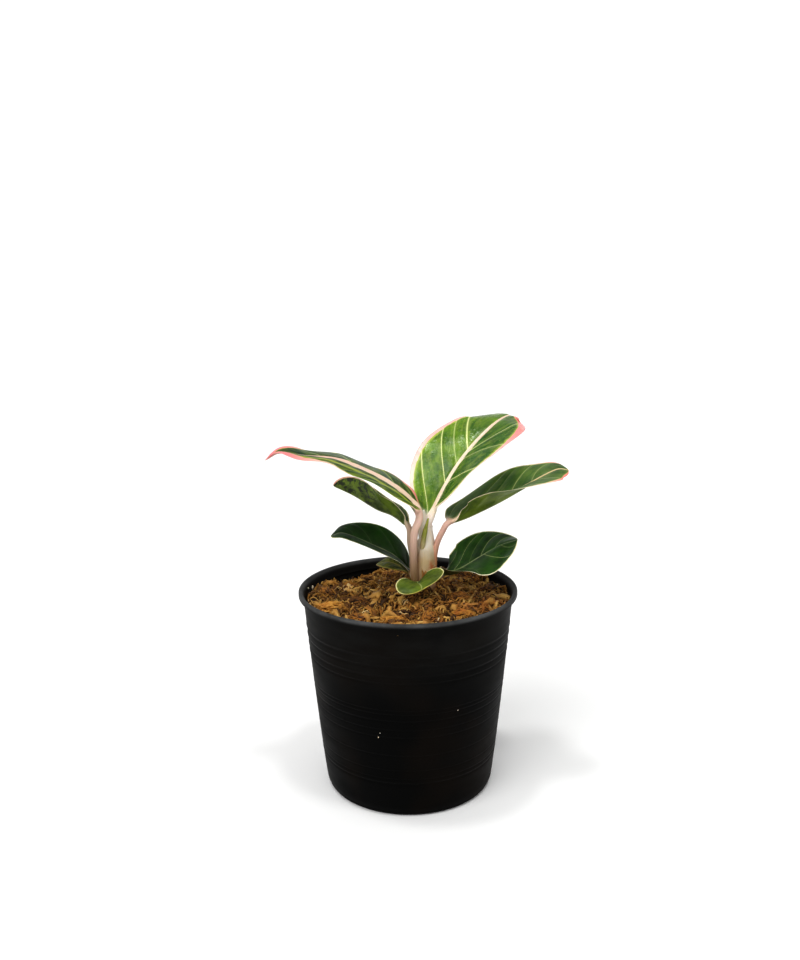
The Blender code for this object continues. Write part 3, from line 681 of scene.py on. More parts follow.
@dataclass(frozen=True)
class Leaf:
    """One leaf, petiole and blade, as a closed skin.

    petiole and blade are points on the midrib, turn is the compass angle of the blade, and roll tips it
    sideways. lift and curl raise each half from the midrib out, in degrees at the base, middle and tip.
    band is the width of the pale margin and blush its redness, at base, middle and tip. rib_width is
    half the pale midrib's width and rib_shift moves it sideways, and waves are the number and the height
    of the margin's waves.
    """

    name: str
    slot: str
    finish: LeafFinish
    petiole: tuple[Point, ...]
    blade: tuple[Point, ...]
    stalk: Pair
    turn: float
    roll: Triple
    half_widths: Pair
    widest: float
    base_fullness: Pair
    tip_fullness: float
    lift: tuple[Triple, Triple]
    curl: tuple[Triple, Triple]
    veins: tuple[tuple[Vein, ...], tuple[Vein, ...]]
    band: tuple[Triple, Triple]
    blush: tuple[Triple, Triple]
    rib_width: Triple
    rib_shift: Triple = (0.0, 0.0, 0.0)
    base_taper: Pair = (0.0, 0.0)
    waves: Pair = (3.0, 0.35)
    rows: int = 120
    columns: int = 26

    THICKNESS = 0.55
    RIB_DEPTH = 1.7
    RIB_SPREAD = 1.8
    OPENING = 0.08
    CURVE_STEPS = 40
    PETIOLE_ROWS = 34

    def outline(self, share: np.ndarray, half: int) -> np.ndarray:
        """Width of the left (0) or right (1) half of the blade at each share of its length.

        Args:
            share: shares of the blade's length.
            half: 0 for the left half, 1 for the right.

        Returns:
            Width at each share.
        """
        bend = math.log(0.5) / math.log(self.widest)
        fullness = np.where(share < self.widest, self.base_fullness[half], self.tip_fullness)
        swell = np.sin(math.pi * np.clip(share, 0, 1) ** bend)
        wide = self.half_widths[half] * np.maximum(swell, 0.0) ** fullness
        taper = self.base_taper[half]
        return wide * ease(share / taper) ** 0.6 if taper else wide

    def stations(self) -> tuple[np.ndarray, np.ndarray, float]:
        """Places down the leaf where its sections are made.

        Returns:
            Points on the midrib, each one's share of the blade (below 0 on the petiole), and the
            blade's length.
        """
        curve = smooth_curve(self.petiole + self.blade, self.CURVE_STEPS)
        base = len(self.petiole) * self.CURVE_STEPS
        stalk_shares = np.linspace(0, 1, self.PETIOLE_ROWS, endpoint=False)
        even = np.linspace(0, 1, self.rows)
        blade_shares = 0.45 * even + 0.55 * (1 - np.cos(math.pi * even)) / 2
        points = np.vstack([resample(curve[:base + 1], stalk_shares), resample(curve[base:], blade_shares)])
        return points, np.concatenate([stalk_shares - 1, blade_shares]), curve_length(curve[base:])[-1]

    def vein_fields(self, side: Side, stops: np.ndarray, along: np.ndarray,
                    length: float) -> tuple[np.ndarray, np.ndarray, np.ndarray]:
        """Where each point of a half blade lies among its side veins.

        Args:
            side: which half.
            stops: shares of the way from midrib to margin.
            along: shares of the blade's length.
            length: the blade's length.

        Returns:
            Side veins behind each point, the space between them, and the nearest one's strength.
        """
        veins = self.veins[0 if side is Side.LEFT else 1]
        starts, ends, strengths, bends = np.array([(v.start, v.end, v.strength, v.bend) for v in veins]).T
        count = np.arange(len(starts))
        flow = np.zeros((len(along), len(stops)))
        gap = np.zeros_like(flow)
        for column, stop in enumerate(stops):
            crossings = np.maximum.accumulate(starts + (ends - starts) * stop ** bends + 0.004 * count)
            spaces = np.diff(crossings, prepend=crossings[0] - 0.15, append=crossings[-1] + 0.15)
            padded = np.concatenate([[crossings[0] - spaces[0]], crossings, [crossings[-1] + spaces[-1]]])
            index = np.concatenate([[-0.5], count, [len(count) - 0.5]])
            flow[:, column] = np.interp(along, padded, index)
            gap[:, column] = np.interp(along, crossings, (spaces[1:] + spaces[:-1]) / 2) * length * 0.86
        return flow, gap, np.interp(flow, count, strengths)

    def directions(self, centres: np.ndarray, along: np.ndarray) -> tuple[np.ndarray, np.ndarray]:
        """Unit vectors across the leaf and out of its upper face, which roll with the blade.

        Args:
            centres: points on the midrib.
            along: each one's share of the blade, below 0 on the petiole.

        Returns:
            The vectors to the left, and the vectors up, at each point.
        """
        forward = tangents(centres)
        turn = math.radians(self.turn)
        left = np.array([-math.sin(turn), math.cos(turn), 0.0])
        left = unit(left - forward * (forward @ left)[:, None])
        up = np.cross(forward, left)
        roll = np.radians(smooth_value(self.roll, np.maximum(along, 0.0))) * np.minimum(1.0, 1 + along)
        cos_roll, sin_roll = np.cos(roll)[:, None], np.sin(roll)[:, None]
        return cos_roll * left + sin_roll * up, cos_roll * up - sin_roll * left

    def depths(self, stops: np.ndarray, share: np.ndarray, wide: np.ndarray,
               opened: np.ndarray) -> tuple[np.ndarray, np.ndarray]:
        """How far the skins lie from the middle of a half leaf: round petiole, thin blade, thick midrib.

        Args:
            stops: shares of the way from midrib to margin.
            share: shares of the blade's length.
            wide: width of the half at each share.
            opened: 0 on the petiole and 1 on the blade.

        Returns:
            Distance of the upper skin, and of the lower skin.
        """
        from_rib = stops * wide
        thin = self.THICKNESS * (1 - stops ** 4) * np.minimum(1.0, wide / 2)
        narrow = np.minimum(1, wide / 3)
        rib = self.RIB_DEPTH * (1 - 0.75 * share) * bell(from_rib, self.RIB_SPREAD) * narrow
        groove = 0.42 * bell(from_rib, 1.0) * (1 - 0.6 * share) * narrow
        round_part = np.sqrt(np.maximum(0.0, 1 - stops * stops)) * self.stalk[1]
        channelled = round_part - 0.45 * bell(from_rib, 0.7)
        return ((1 - opened) * channelled + opened * (thin / 2 - groove),
                (1 - opened) * round_part + opened * (thin / 2 + rib))

    def half(self, side: Side, centres: np.ndarray, along: np.ndarray,
             length: float) -> dict[str, np.ndarray]:
        """Points and values of one half of the leaf, from midrib to margin.

        Args:
            side: which half.
            centres: points on the midrib.
            along: each one's share of the blade, below 0 on the petiole.
            length: the blade's length.

        Returns:
            Points of the top and bottom skins, and the numbers that the finish reads.
        """
        index = 0 if side is Side.LEFT else 1
        even = np.linspace(0, 1, self.columns)
        stops = 0.5 * even + 0.5 * (1 - np.cos(math.pi * even)) / 2
        share = np.maximum(along, 0.0)
        left, up = self.directions(centres, along)
        opened = ease(share / self.OPENING)[:, None]
        fade = np.maximum(0.0, 1 - share / 0.5) ** 1.5
        wide = np.where(along > 0, self.outline(share, index), 0.0)
        wide = np.maximum((self.stalk[0] * fade) ** 3 + wide ** 3, 1e-6)[:, None] ** (1 / 3)
        lift = np.radians(smooth_value(self.lift[index], share))[:, None] * opened
        curl = np.radians(smooth_value(self.curl[index], share))[:, None] * opened
        angle = lift + curl * stops
        steps = np.diff(stops, prepend=0.0)
        middle = lift + curl * (stops - steps / 2)
        across = np.cumsum(steps * np.cos(middle), axis=1)
        rise = np.cumsum(steps * np.sin(middle), axis=1)
        surface = (centres[:, None] + (wide * side.value * across)[..., None] * left[:, None]
                   + (wide * rise)[..., None] * up[:, None])
        from_rib = stops * wide
        tilt = angle * ease(from_rib / 2.5)
        normal = np.cos(tilt)[..., None] * up[:, None] - side.value * np.sin(tilt)[..., None] * left[:, None]
        from_edge = (1 - stops) * wide
        flow, gap, force = self.vein_fields(side, stops, share, length)
        nearest = np.abs((flow + 0.5) % 1.0 - 0.5) * gap
        window = np.minimum(1.0, from_rib / 2.0) * np.minimum(1.0, from_edge / 2.5)
        relief = (0.20 * np.minimum(nearest / 2.5, 1.0) - 0.13 * bell(nearest, 0.5) * force) * window
        count, height = self.waves
        phase = 0.0 if side is Side.LEFT else 1.7
        relief += height * stops ** 3 * np.sin(TAU * count * share[:, None] + phase) * np.minimum(1, wide / 8)
        relief += 0.22 * scatter_noise(surface, 9.0, index) * window * opened
        relief = relief * opened
        above, below = self.depths(stops, share[:, None], wide, opened)
        shut = (stops >= 1.0)[None, :]
        above = np.where(shut, relief, above + relief)
        below = np.where(shut, -relief, below - relief)
        band = smooth_value(self.band[index], share)[:, None]
        return {
            "top": surface + above[..., None] * normal, "bottom": surface - below[..., None] * normal,
            "across": np.broadcast_to(side.value * stops, flow.shape), "rib": from_rib,
            "margin": from_edge - band, "flow": flow, "gap": gap, "force": force,
            "midrib": from_rib - (smooth_value(self.rib_width, share)
                                  + side.value * smooth_value(self.rib_shift, share))[:, None],
            "blush": np.broadcast_to(smooth_value(self.blush[index], share)[:, None], flow.shape),
            "along": np.broadcast_to(along[:, None], flow.shape),
            "stalk": np.broadcast_to(1 - ease((along[:, None] + 0.02) / 0.07), flow.shape)}

    def build(self) -> bpy.types.Object:
        """Make the leaf.

        Returns:
            The piece.
        """
        centres, along, length = self.stations()
        left = self.half(Side.LEFT, centres, along, length)
        right = self.half(Side.RIGHT, centres, along, length)
        rows = len(along)

        def ring(upper: str, lower: str) -> np.ndarray:
            """Columns from the left margin over the top to the right, and back underneath."""
            return np.concatenate([left[upper][:, ::-1], right[upper][:, 1:], right[lower][:, -2::-1],
                                   left[lower][:, 1:]], axis=1)

        values = {key: ring(key, key) for key in ("across", "rib", "margin", "flow", "gap", "force",
                                                  "midrib", "blush", "along", "stalk")}
        upper, lower = 2 * self.columns - 1, 2 * self.columns - 2
        values["under"] = np.concatenate([np.zeros((rows, upper)), np.ones((rows, lower))], axis=1)
        values["under"][:, -1] = 0.0
        name = "grown_" + self.name
        piece = make_object(name, skin(close_ends(ring("top", "bottom")), values))
        place_piece(piece, self.finish.build(name), self.slot, self.name)
        return piece


LEAVES = (
    Leaf(
        name="leaf_left_long", slot="leaf_green", finish=BLUE_LONG,
        petiole=((4.2, -3.2, 99.4), (3.1, -4.3, 106), (2.8, -4.8, 116), (3.3, -4.9, 126)),
        blade=((5.3, -4.2, 136), (-7.4, -8.2, 150.3), (-30, -8.8, 161.9), (-48.8, -10.7, 165),
               (-58.7, -11.1, 166.4), (-65, -11.6, 162.6)),
        stalk=(2.4, 1.9), turn=170, roll=(2, 7, -4), half_widths=(13.8, 15.0), widest=0.43,
        base_fullness=(0.66, 0.55), tip_fullness=0.81, lift=((4, -7, 8), (26, 8, 23)),
        curl=((0, -7, 0), (-2, -13, 2)),
        veins=((Vein(0.02, 0.22, 0.4), Vein(0.12, 0.42, 0.5), Vein(0.24, 0.58, 0.4), Vein(0.4, 0.72, 0.3),
                 Vein(0.56, 0.84, 0.2)),
               (Vein(0.06, 0.18, 0.4), Vein(0.2, 0.32, 0.7), Vein(0.48, 0.6, 0.9), Vein(0.66, 0.8, 0.5))),
        band=((1.6, 0.4, 7.6), (4.2, 0.5, 4.2)), blush=((0.4, 0.2, 1.3), (1.0, 0.2, 1.2)),
        rib_width=(1.9, 2.5, -0.9), rib_shift=(-0.6, 0.9, 1.6), waves=(3.5, 0.45), rows=150, columns=30),
    Leaf(
        name="leaf_top", slot="leaf_green", finish=GREEN_TOP,
        petiole=((8.5, 1.9, 122.0), (9.3, 2.2, 126.5)),
        blade=((10.9, 2.3, 131.5), (20.5, 6.9, 149.8), (31, 14.3, 163), (43.2, 24.1, 172.9),
               (51.6, 34.3, 175.6), (54.4, 36.4, 174.0)),
        stalk=(2.1, 1.8), turn=59, roll=(4, 0, 14), half_widths=(22.4, 19.7), widest=0.46,
        base_fullness=(0.52, 0.80), tip_fullness=0.38, base_taper=(0.0, 0.17),
        lift=((24, 13, -6), (50, 23, -10)), curl=((8, -8, -22), (9, -7, -16)),
        veins=((Vein(-0.1, 0.4, 1, 1), Vein(0.22, 0.6, 1, 1), Vein(0.36, 0.7, 0.45, 1),
                 Vein(0.48, 0.81, 0.85, 1)),
               (Vein(-0.05, 0.12, 0.3, 1), Vein(0.24, 0.37, 0.7, 1), Vein(0.4, 0.62, 0.45, 1),
                Vein(0.47, 1.3, 0.8, 1.6))),
        band=((1.8, 2.3, 1.2), (2.8, 1.1, 6.4)), blush=((0.1, 0.5, 0.5), (0.1, 0.4, 1.6)),
        rib_width=(1.9, 1.35, 0.3), rib_shift=(-0.6, -0.4, 0.6), waves=(3.0, 0.30), rows=170, columns=40),
    Leaf(
        name="leaf_right_up", slot="leaf_green", finish=GREY_RIGHT,
        petiole=((11.9, 0.9, 103.6), (12.6, 0.6, 108), (12.9, 0.4, 114), (14.2, 0, 120), (16.6, -0.7, 125.5)),
        blade=((19.9, -1.2, 130.3), (29.8, 3.2, 133), (44, 2.6, 139.8), (59, 0.9, 148.6),
               (70.6, 1.7, 154.2), (76.5, 1.7, 153.9)),
        stalk=(1.7, 1.5), turn=2, roll=(0, 7, 14), half_widths=(17.5, 16.2), widest=0.52,
        base_fullness=(0.35, 0.45), tip_fullness=0.49, lift=((18, 20, -3), (38, 33, -17)),
        curl=((-8, -4, -10), (6, 2, -10)),
        veins=((Vein(-0.06, 0.2, 0.4), Vein(0.14, 0.58, 0.85), Vein(0.34, 0.66, 0.3),
                 Vein(0.51, 0.8, 0.8), Vein(0.68, 0.92, 0.4)),
               (Vein(0.02, 0.24, 0.4), Vein(0.18, 0.42, 0.5), Vein(0.36, 0.62, 0.6), Vein(0.54, 0.78, 0.6),
                Vein(0.7, 0.92, 0.5))),
        band=((0.5, 0.30, 1.8), (0.9, 0.9, 1.5)), blush=((0.3, -0.5, 1.2), (0.0, -0.3, 1.2)),
        rib_width=(0.7, 0.5, 0.2), rib_shift=(0.0, 0.1, 0.5), waves=(2.5, 0.15), rows=140, columns=30),
    Leaf(
        name="leaf_left_mid", slot="leaf_dark", finish=DARK_OLIVE,
        petiole=((5.2, 2.6, 105.6), (2.7, 3.1, 111), (1.3, 3.2, 119)),
        blade=((0.5, 2.6, 127.4), (-6.2, 9.3, 131.9), (-14.8, 15, 134), (-25.9, 20.1, 139.4),
               (-36.5, 23.1, 143.6)),
        stalk=(1.6, 1.4), turn=155, roll=(1, 3, 2), half_widths=(12.4, 12.1), widest=0.58,
        base_fullness=(0.63, 0.63), tip_fullness=0.58, lift=((60, 50, 70), (39, 18, 54)),
        curl=((20, 13, 30), (0, -9, 10)),
        veins=((Vein(0.05, 0.3, 0.4), Vein(0.22, 0.5, 0.5), Vein(0.42, 0.7, 0.4), Vein(0.62, 0.86, 0.3)),
               (Vein(0.1, 0.32, 0.6), Vein(0.28, 0.52, 0.4), Vein(0.46, 0.7, 0.4), Vein(0.64, 0.86, 0.3))),
        band=((0.6, 0.4, 1.2), (0.8, 0.4, 1.4)), blush=((0.0, 0.2, 1.2), (0.0, 0.2, 1.2)),
        rib_width=(0.8, 0.5, 0.2), waves=(2.0, 0.3), rows=110, columns=24),
    Leaf(
        name="leaf_left_low", slot="leaf_dark", finish=DARK_LOW,
        petiole=((4.4, 2.2, 99.8), (2.5, 2.7, 101.8)),
        blade=((1.2, 2.8, 104.6), (-5.7, 0.9, 112.7), (-18, -0.1, 119.7), (-30.1, -1, 125.1),
               (-36.6, 0.4, 123.5)),
        stalk=(1.3, 1.2), turn=182, roll=(0, 3, 2), half_widths=(10.3, 13.5), widest=0.50,
        base_fullness=(0.63, 0.63), tip_fullness=0.63, lift=((-2, 2, -14), (34, 39, 14)),
        curl=((2, -5, -3), (2, -5, -4)),
        veins=((Vein(0.05, 0.24, 0.5), Vein(0.22, 0.42, 0.5), Vein(0.4, 0.6, 0.5), Vein(0.58, 0.78, 0.4)),
               (Vein(0.04, 0.2, 0.4), Vein(0.2, 0.56, 0.8), Vein(0.52, 0.8, 0.8), Vein(0.72, 0.92, 0.4))),
        band=((0.35, 0.3, 0.3), (0.25, 0.2, 0.2)), blush=((0.0, 0.2, 0.4), (0.0, 0.4, 0.6)),
        rib_width=(0.6, 0.4, 0.2), waves=(2.0, 0.2), rows=110, columns=24),
    Leaf(
        name="leaf_back_low", slot="leaf_green", finish=OLD_BACK,
        petiole=((5.4, 4.9, 99.8), (3.3, 6.8, 101.3)),
        blade=((0.8, 8.6, 102.6), (-4.6, 12.0, 105.2), (-10.2, 15.4, 105.9), (-15.6, 18.2, 103.8)),
        stalk=(1.2, 1.1), turn=150, roll=(-18, -22, -18), half_widths=(5.4, 5.4), widest=0.52,
        base_fullness=(0.60, 0.60), tip_fullness=0.70, lift=((25, 8, 0), (25, 8, 0)),
        curl=((0, -10, -10), (0, -10, -10)),
        veins=((Vein(0.1, 0.35), Vein(0.4, 0.65), Vein(0.65, 0.85)),) * 2,
        band=((0.3, 0.3, 0.6), (0.3, 0.3, 0.6)), blush=((0.2, 0.4, 0.9), (0.2, 0.4, 0.9)),
        rib_width=(0.4, 0.3, 0.15), waves=(2.5, 0.35), rows=70, columns=16),
    Leaf(
        name="leaf_right_low", slot="leaf_dark", finish=DARK_RIGHT,
        petiole=((11.7, 2.7, 99.8), (14.6, 2.2, 101.8)),
        blade=((17.7, 0.9, 104.2), (25.3, -2.8, 107.8), (33.8, -4.3, 113.6), (42.8, -7, 119.8),
               (51.3, -9.5, 123.4)),
        stalk=(1.4, 1.2), turn=-2, roll=(-7, -1, -7), half_widths=(16.1, 17.0), widest=0.52,
        base_fullness=(0.38, 0.42), tip_fullness=0.56, lift=((44, 22, 0), (5, -20, -30)),
        curl=((22, 11, 0), (90, 19, -20)),
        veins=((Vein(-0.05, 0.3, 0.5), Vein(0.12, 0.58, 1), Vein(0.34, 0.66, 0.3), Vein(0.5, 0.8, 0.9),
                 Vein(0.7, 0.92, 0.4)),
               (Vein(0.05, 0.28, 0.4), Vein(0.24, 0.52, 0.4), Vein(0.55, 0.95, 0.9), Vein(0.78, 1.1, 0.4))),
        band=((0.5, 0.45, 0.7), (0.6, 0.6, 0.6)), blush=((0.2, 0.3, 0.6), (0.0, 0.1, 0.4)),
        rib_width=(0.5, 0.4, 0.2), waves=(2.5, 0.25), rows=130, columns=30),
    Leaf(
        name="leaf_front", slot="leaf_green", finish=SMALL_FRONT,
        petiole=((9.7, -2.2, 99.8), (8.6, -5.6, 100.6), (6.6, -7.5, 101.7)),
        blade=((4.7, -9.2, 102.7), (5.2, -13.8, 103.8), (6.1, -18.5, 104.2), (6.3, -22, 103.7)),
        stalk=(1.3, 1.1), turn=-88, roll=(5, 10, 19), half_widths=(13.0, 11.4), widest=0.47,
        base_fullness=(0.50, 0.50), tip_fullness=0.60, lift=((36, 14, 7), (28, 1, -16)),
        curl=((24, 9, -1), (14, 1, -6)),
        veins=((Vein(0, 0.25, 0.2), Vein(0.2, 0.5, 0.2), Vein(0.42, 0.72, 0.2)),) * 2,
        band=((0.4, 0.4, 0.5), (0.5, 0.45, 0.5)), blush=((0.0, 0.2, 0.9), (0.0, 0.3, 1.0)),
        rib_width=(0.3, 0.3, 0.25), waves=(1.5, 0.12), rows=80, columns=30),
)


# Pot


@dataclass(frozen=True)
class PotPlastic:
    """Black polypropylene with a soft sheen, faint smears, brownish patches and dust, with a painted sheen on
    the upper wall and a painted highlight along the lip.
    """

    black: Colour = (0.0006, 0.0006, 0.0005, 1.0)
    # dust_and_sheen: a lighter grey for smears and dust, which also paints a sheen on the upper wall.
    dust_and_sheen: Colour = (0.0090, 0.0088, 0.0082, 1.0)
    brown: Colour = (0.0034, 0.0020, 0.0010, 1.0)
    # lip: a painted highlight, a light grey band along the top of the lip.
    lip: Colour = (0.115, 0.117, 0.118, 1.0)

    def build(self) -> bpy.types.Material:
        """Make the material.

        Returns:
            The material.
        """
        tree = Tree("pot_plastic")
        smears = tree.noise(1.0, 5.0, 0.65, tree.stretched((30.0, 30.0, 90.0))).step(0.35, 0.75)
        rings = tree.noise(1.0, 3.0, 0.7, tree.stretched((4.0, 4.0, 900.0)))
        specks = tree.noise(1900.0, 1.0, 0.4).step(0.74, 0.80)
        height = tree.axis(2)
        # upper: where the painted sheen shows, growing from 50 mm up to 92 mm.
        upper = height.step(0.050, 0.092)
        colour = tree.mix(tree.noise(25.0, 2.0, 0.5).step(0.45, 0.65), self.black, self.brown)
        # Painted sheen, with smears and dust: the upper wall is mixed towards a lighter grey.
        colour = tree.mix((smears * 0.7 + 0.3) * upper, colour, self.dust_and_sheen)
        # Painted highlight: a light grey band along the top of the lip.
        colour = tree.mix(height.step(0.0958, 0.0974) * (smears * 0.7 + 0.3), colour, self.lip)
        roughness = (smears * 0.14 + 0.42) + rings * 0.06
        relief = tree.noise(1500.0, 3.0, 0.6) * 0.3 + rings * 0.8 + specks * 0.3
        return tree.finish(colour, roughness, tree.bump(relief, 0.05, 0.6), {"Specular IOR Level": 0.045})


@dataclass(frozen=True)
class Pot:
    """The nursery pot: tapered wall with moulded rings, narrow lip, foot ring and drain holes.

    A groove is its height, depth and half width. Edges sharper than sharp_angle degrees look sharp.
    """

    height: float = 98.0
    rim_radius: float = 52.5
    base_radius: float = 40.3
    wall: float = 0.8
    shoulder_z: float = 95.2
    shoulder_radius: float = 50.3
    taper_bend: float = 0.86
    lip_drop: float = 2.4
    lip_inner: float = 51.1
    heel: float = 2.2
    floor: float = 0.9
    hub_radius: float = 16.0
    channel: Pair = (17.5, 30.5)
    channel_height: float = 2.5
    foot_inner: float = 32.0
    drain_holes: int = 6
    drain_radius: float = 4.0
    drain_circle: float = 24.0
    grooves: tuple[Triple, ...] = (
        (17.3, 0.22, 0.6), (19.8, 0.12, 0.4), (24.2, 0.10, 0.4), (32.0, 0.10, 0.4), (41.3, 0.10, 0.4),
        (45.1, 0.10, 0.4), (49.5, 0.16, 0.5), (52.9, 0.14, 0.4), (54.8, 0.12, 0.4), (68.1, 0.26, 0.55),
        (71.4, 0.32, 0.7), (76.2, 0.34, 0.7), (80.4, 0.38, 0.8))
    inner_ridges: tuple[float, ...] = (84.6, 87.8, 90.6, 93.2)
    ridge_height: float = 0.36
    sharp_angle: float = 40.0
    steps: int = 160

    def outer_radius(self, height: float) -> float:
        """Outer radius of the tapered wall at a height."""
        rise = self.shoulder_radius - self.base_radius
        return self.base_radius + rise * (height / self.shoulder_z) ** self.taper_bend

    def grooved(self, height: float) -> float:
        """Outer radius with the moulded rings: each a groove with a slight lip above it.

        Args:
            height: height on the wall.

        Returns:
            The radius.
        """
        radius = self.outer_radius(height)
        for place, depth, half in self.grooves:
            away = (height - place) / half
            radius += depth * (0.5 * math.exp(-((away - 1.9) / 0.9) ** 2) - math.exp(-away ** 2))
        return radius

    def profile(self) -> list[Pair]:
        """Outline from the axis under the floor, out and up the wall, over the lip and down inside.

        Returns:
            Radius and height of each point.
        """
        inner_foot, outer_foot = self.channel
        heel = [(self.base_radius - self.heel * (1 - math.sin(a)), self.heel * (1 - math.cos(a)))
                for a in np.linspace(0, math.pi / 2, 7)]
        underside = [(0, 0), (self.hub_radius - 0.4, 0), (self.hub_radius, 0.15),
                     (inner_foot, self.channel_height), (outer_foot, self.channel_height),
                     (self.foot_inner, 0.15), (self.foot_inner + 0.4, 0)]
        fine = [place + half * shift for place, _, half in self.grooves
                for shift in (-1.8, -1.2, -0.8, -0.4, 0, 0.4, 0.8, 1.2, 1.6, 2.0, 2.5, 3.1)]
        levels = sorted(set(np.round([*np.linspace(3.2, self.shoulder_z, 46), *fine], 3)))
        outer = [(self.grooved(level), level) for level in levels]
        top, out, under = self.height, self.rim_radius, self.height - self.lip_drop
        neck, brim = self.shoulder_radius, self.lip_inner
        lip = [(neck + 0.04, under - 0.2), (neck + 0.22, under - 0.05), (neck + 0.6, under),
               (out - 0.35, under), (out - 0.1, under + 0.1), (out, under + 0.35), (out, top - 0.9)]
        lip += [(out - 0.8 + 0.8 * math.cos(a), top - 0.8 + 0.8 * math.sin(a))
                for a in np.linspace(0.3, math.pi / 2, 6)]
        lip += [(brim + 0.25, top), (brim - 0.05, top - 0.1), (brim - 0.4, top - 0.45),
                (brim - 0.9, top - 1.2), (neck - self.wall + 0.15, self.shoulder_z + 0.5)]
        inner = []
        beside = [ridge + shift for ridge in self.inner_ridges for shift in (-0.7, -0.35, 0, 0.35, 0.7)]
        for level in sorted({*np.linspace(20, self.shoulder_z, 14), *beside}, reverse=True):
            ridge = sum(math.exp(-((level - place) / 0.38) ** 2) for place in self.inner_ridges)
            inner.append((self.outer_radius(level) - self.wall - self.ridge_height * ridge, level))
        bottom = [(self.base_radius - self.wall, 2.6), (self.base_radius - 2.0, self.floor),
                  (self.foot_inner - 0.6, self.floor), (outer_foot - 0.6, self.channel_height + self.floor),
                  (inner_foot + 0.6, self.channel_height + self.floor), (self.hub_radius + 0.6, self.floor),
                  (0, self.floor)]
        return underside + heel + outer + lip + inner + bottom

    def cut_drains(self, piece: bpy.types.Object) -> None:
        """Cut the drain holes through the raised channel.

        Args:
            piece: the pot, whose mesh is replaced.
        """
        bm = bmesh.new()
        for index in range(self.drain_holes):
            angle = TAU * (index + 0.5) / self.drain_holes
            middle = Vector((self.drain_circle * math.cos(angle), self.drain_circle * math.sin(angle),
                             self.channel_height + self.floor / 2))
            bmesh.ops.create_cone(bm, cap_ends=True, segments=32, radius1=self.drain_radius * MM,
                                  radius2=self.drain_radius * MM, depth=3 * MM,
                                  matrix=Matrix.Translation(middle * MM))
        cutter = make_object("drain_cutter", bm)
        cut = piece.modifiers.new("drains", "BOOLEAN")
        cut.operation, cut.solver, cut.object = "DIFFERENCE", "EXACT", cutter
        uncut, piece.data = piece.data, applied(piece)
        piece.modifiers.clear()
        bpy.data.objects.remove(cutter)
        bpy.data.meshes.remove(uncut)

    def build(self) -> bpy.types.Object:
        """Make the pot.

        Returns:
            The piece.
        """
        piece = make_object("plastic_pot", lathe(self.profile(), self.steps))
        self.cut_drains(piece)
        piece.data.shade_smooth()
        piece.data.set_sharp_from_angle(angle=math.radians(self.sharp_angle))
        place_piece(piece, PotPlastic().build(), "pot_plastic", "pot")
        return piece


# Growing medium


@dataclass(frozen=True)
class HuskFinish:
    """Damp husk and moss: painted shade darkens its hollows, painted light turns what stands out amber and
    straw.
    """

    shadow: Colour = srgb(24, 12, 5)
    brown: Colour = srgb(88, 56, 18)
    amber: Colour = srgb(158, 112, 42)
    straw: Colour = srgb(206, 168, 94)
    pale: Colour = srgb(240, 232, 206)
    red: Colour = srgb(164, 94, 34)

    def build(self, name: str, tone: float = 0.0) -> bpy.types.Material:
        """Make the material; tone lifts it from brown towards straw.

        Args:
            name: the material's name.
            tone: added to the mesh's tint.

        Returns:
            The material.
        """
        tree = Tree(name)
        tint = tree.read("tint") + tone
        grain = tree.noise(700.0, 4.0, 0.7)
        fibre = tree.noise(1.0, 4.0, 0.7, tree.stretched((500.0, 240.0, 700.0)))
        value = tint + (grain - 0.5) * 0.40 + (fibre - 0.5) * 0.40
        colour = tree.ramp(value * 0.5, [(0.0, self.shadow), (0.17, self.brown), (0.31, self.amber),
                                         (0.50, self.straw), (0.80, self.pale)])
        toward = tree.axis(0) * 0.6 - tree.axis(1)
        ruddy = toward.step(0.005, 0.045) * 0.35 + 0.22
        reddish = tree.noise(130.0, 3.0, 0.6, distortion=0.5).step(0.42, 0.64) * ruddy
        colour = tree.mix(reddish, colour, tree.mix(tint.step(0.05, 0.75), self.shadow, self.red))
        relief = grain * 0.6 + fibre * 0.8
        roughness = grain.step(0.3, 0.7, 0.55, 0.85)
        return tree.finish(colour, roughness, tree.bump(relief, 0.30, 0.85), {
            **soaked(0.05, (1.0, 0.5, 0.2), 0.001), "Specular IOR Level": 0.35})


@dataclass(frozen=True)
class Strands:
    """One kind of moss strand: how many, and the least and greatest of its sizes and tints.

    draw picks the kind's random numbers, and rise is a strand's middle over the surface.
    """

    name: str
    draw: int
    count: int
    long: Pair
    half_wide: Pair
    rise: Pair
    tone: Pair


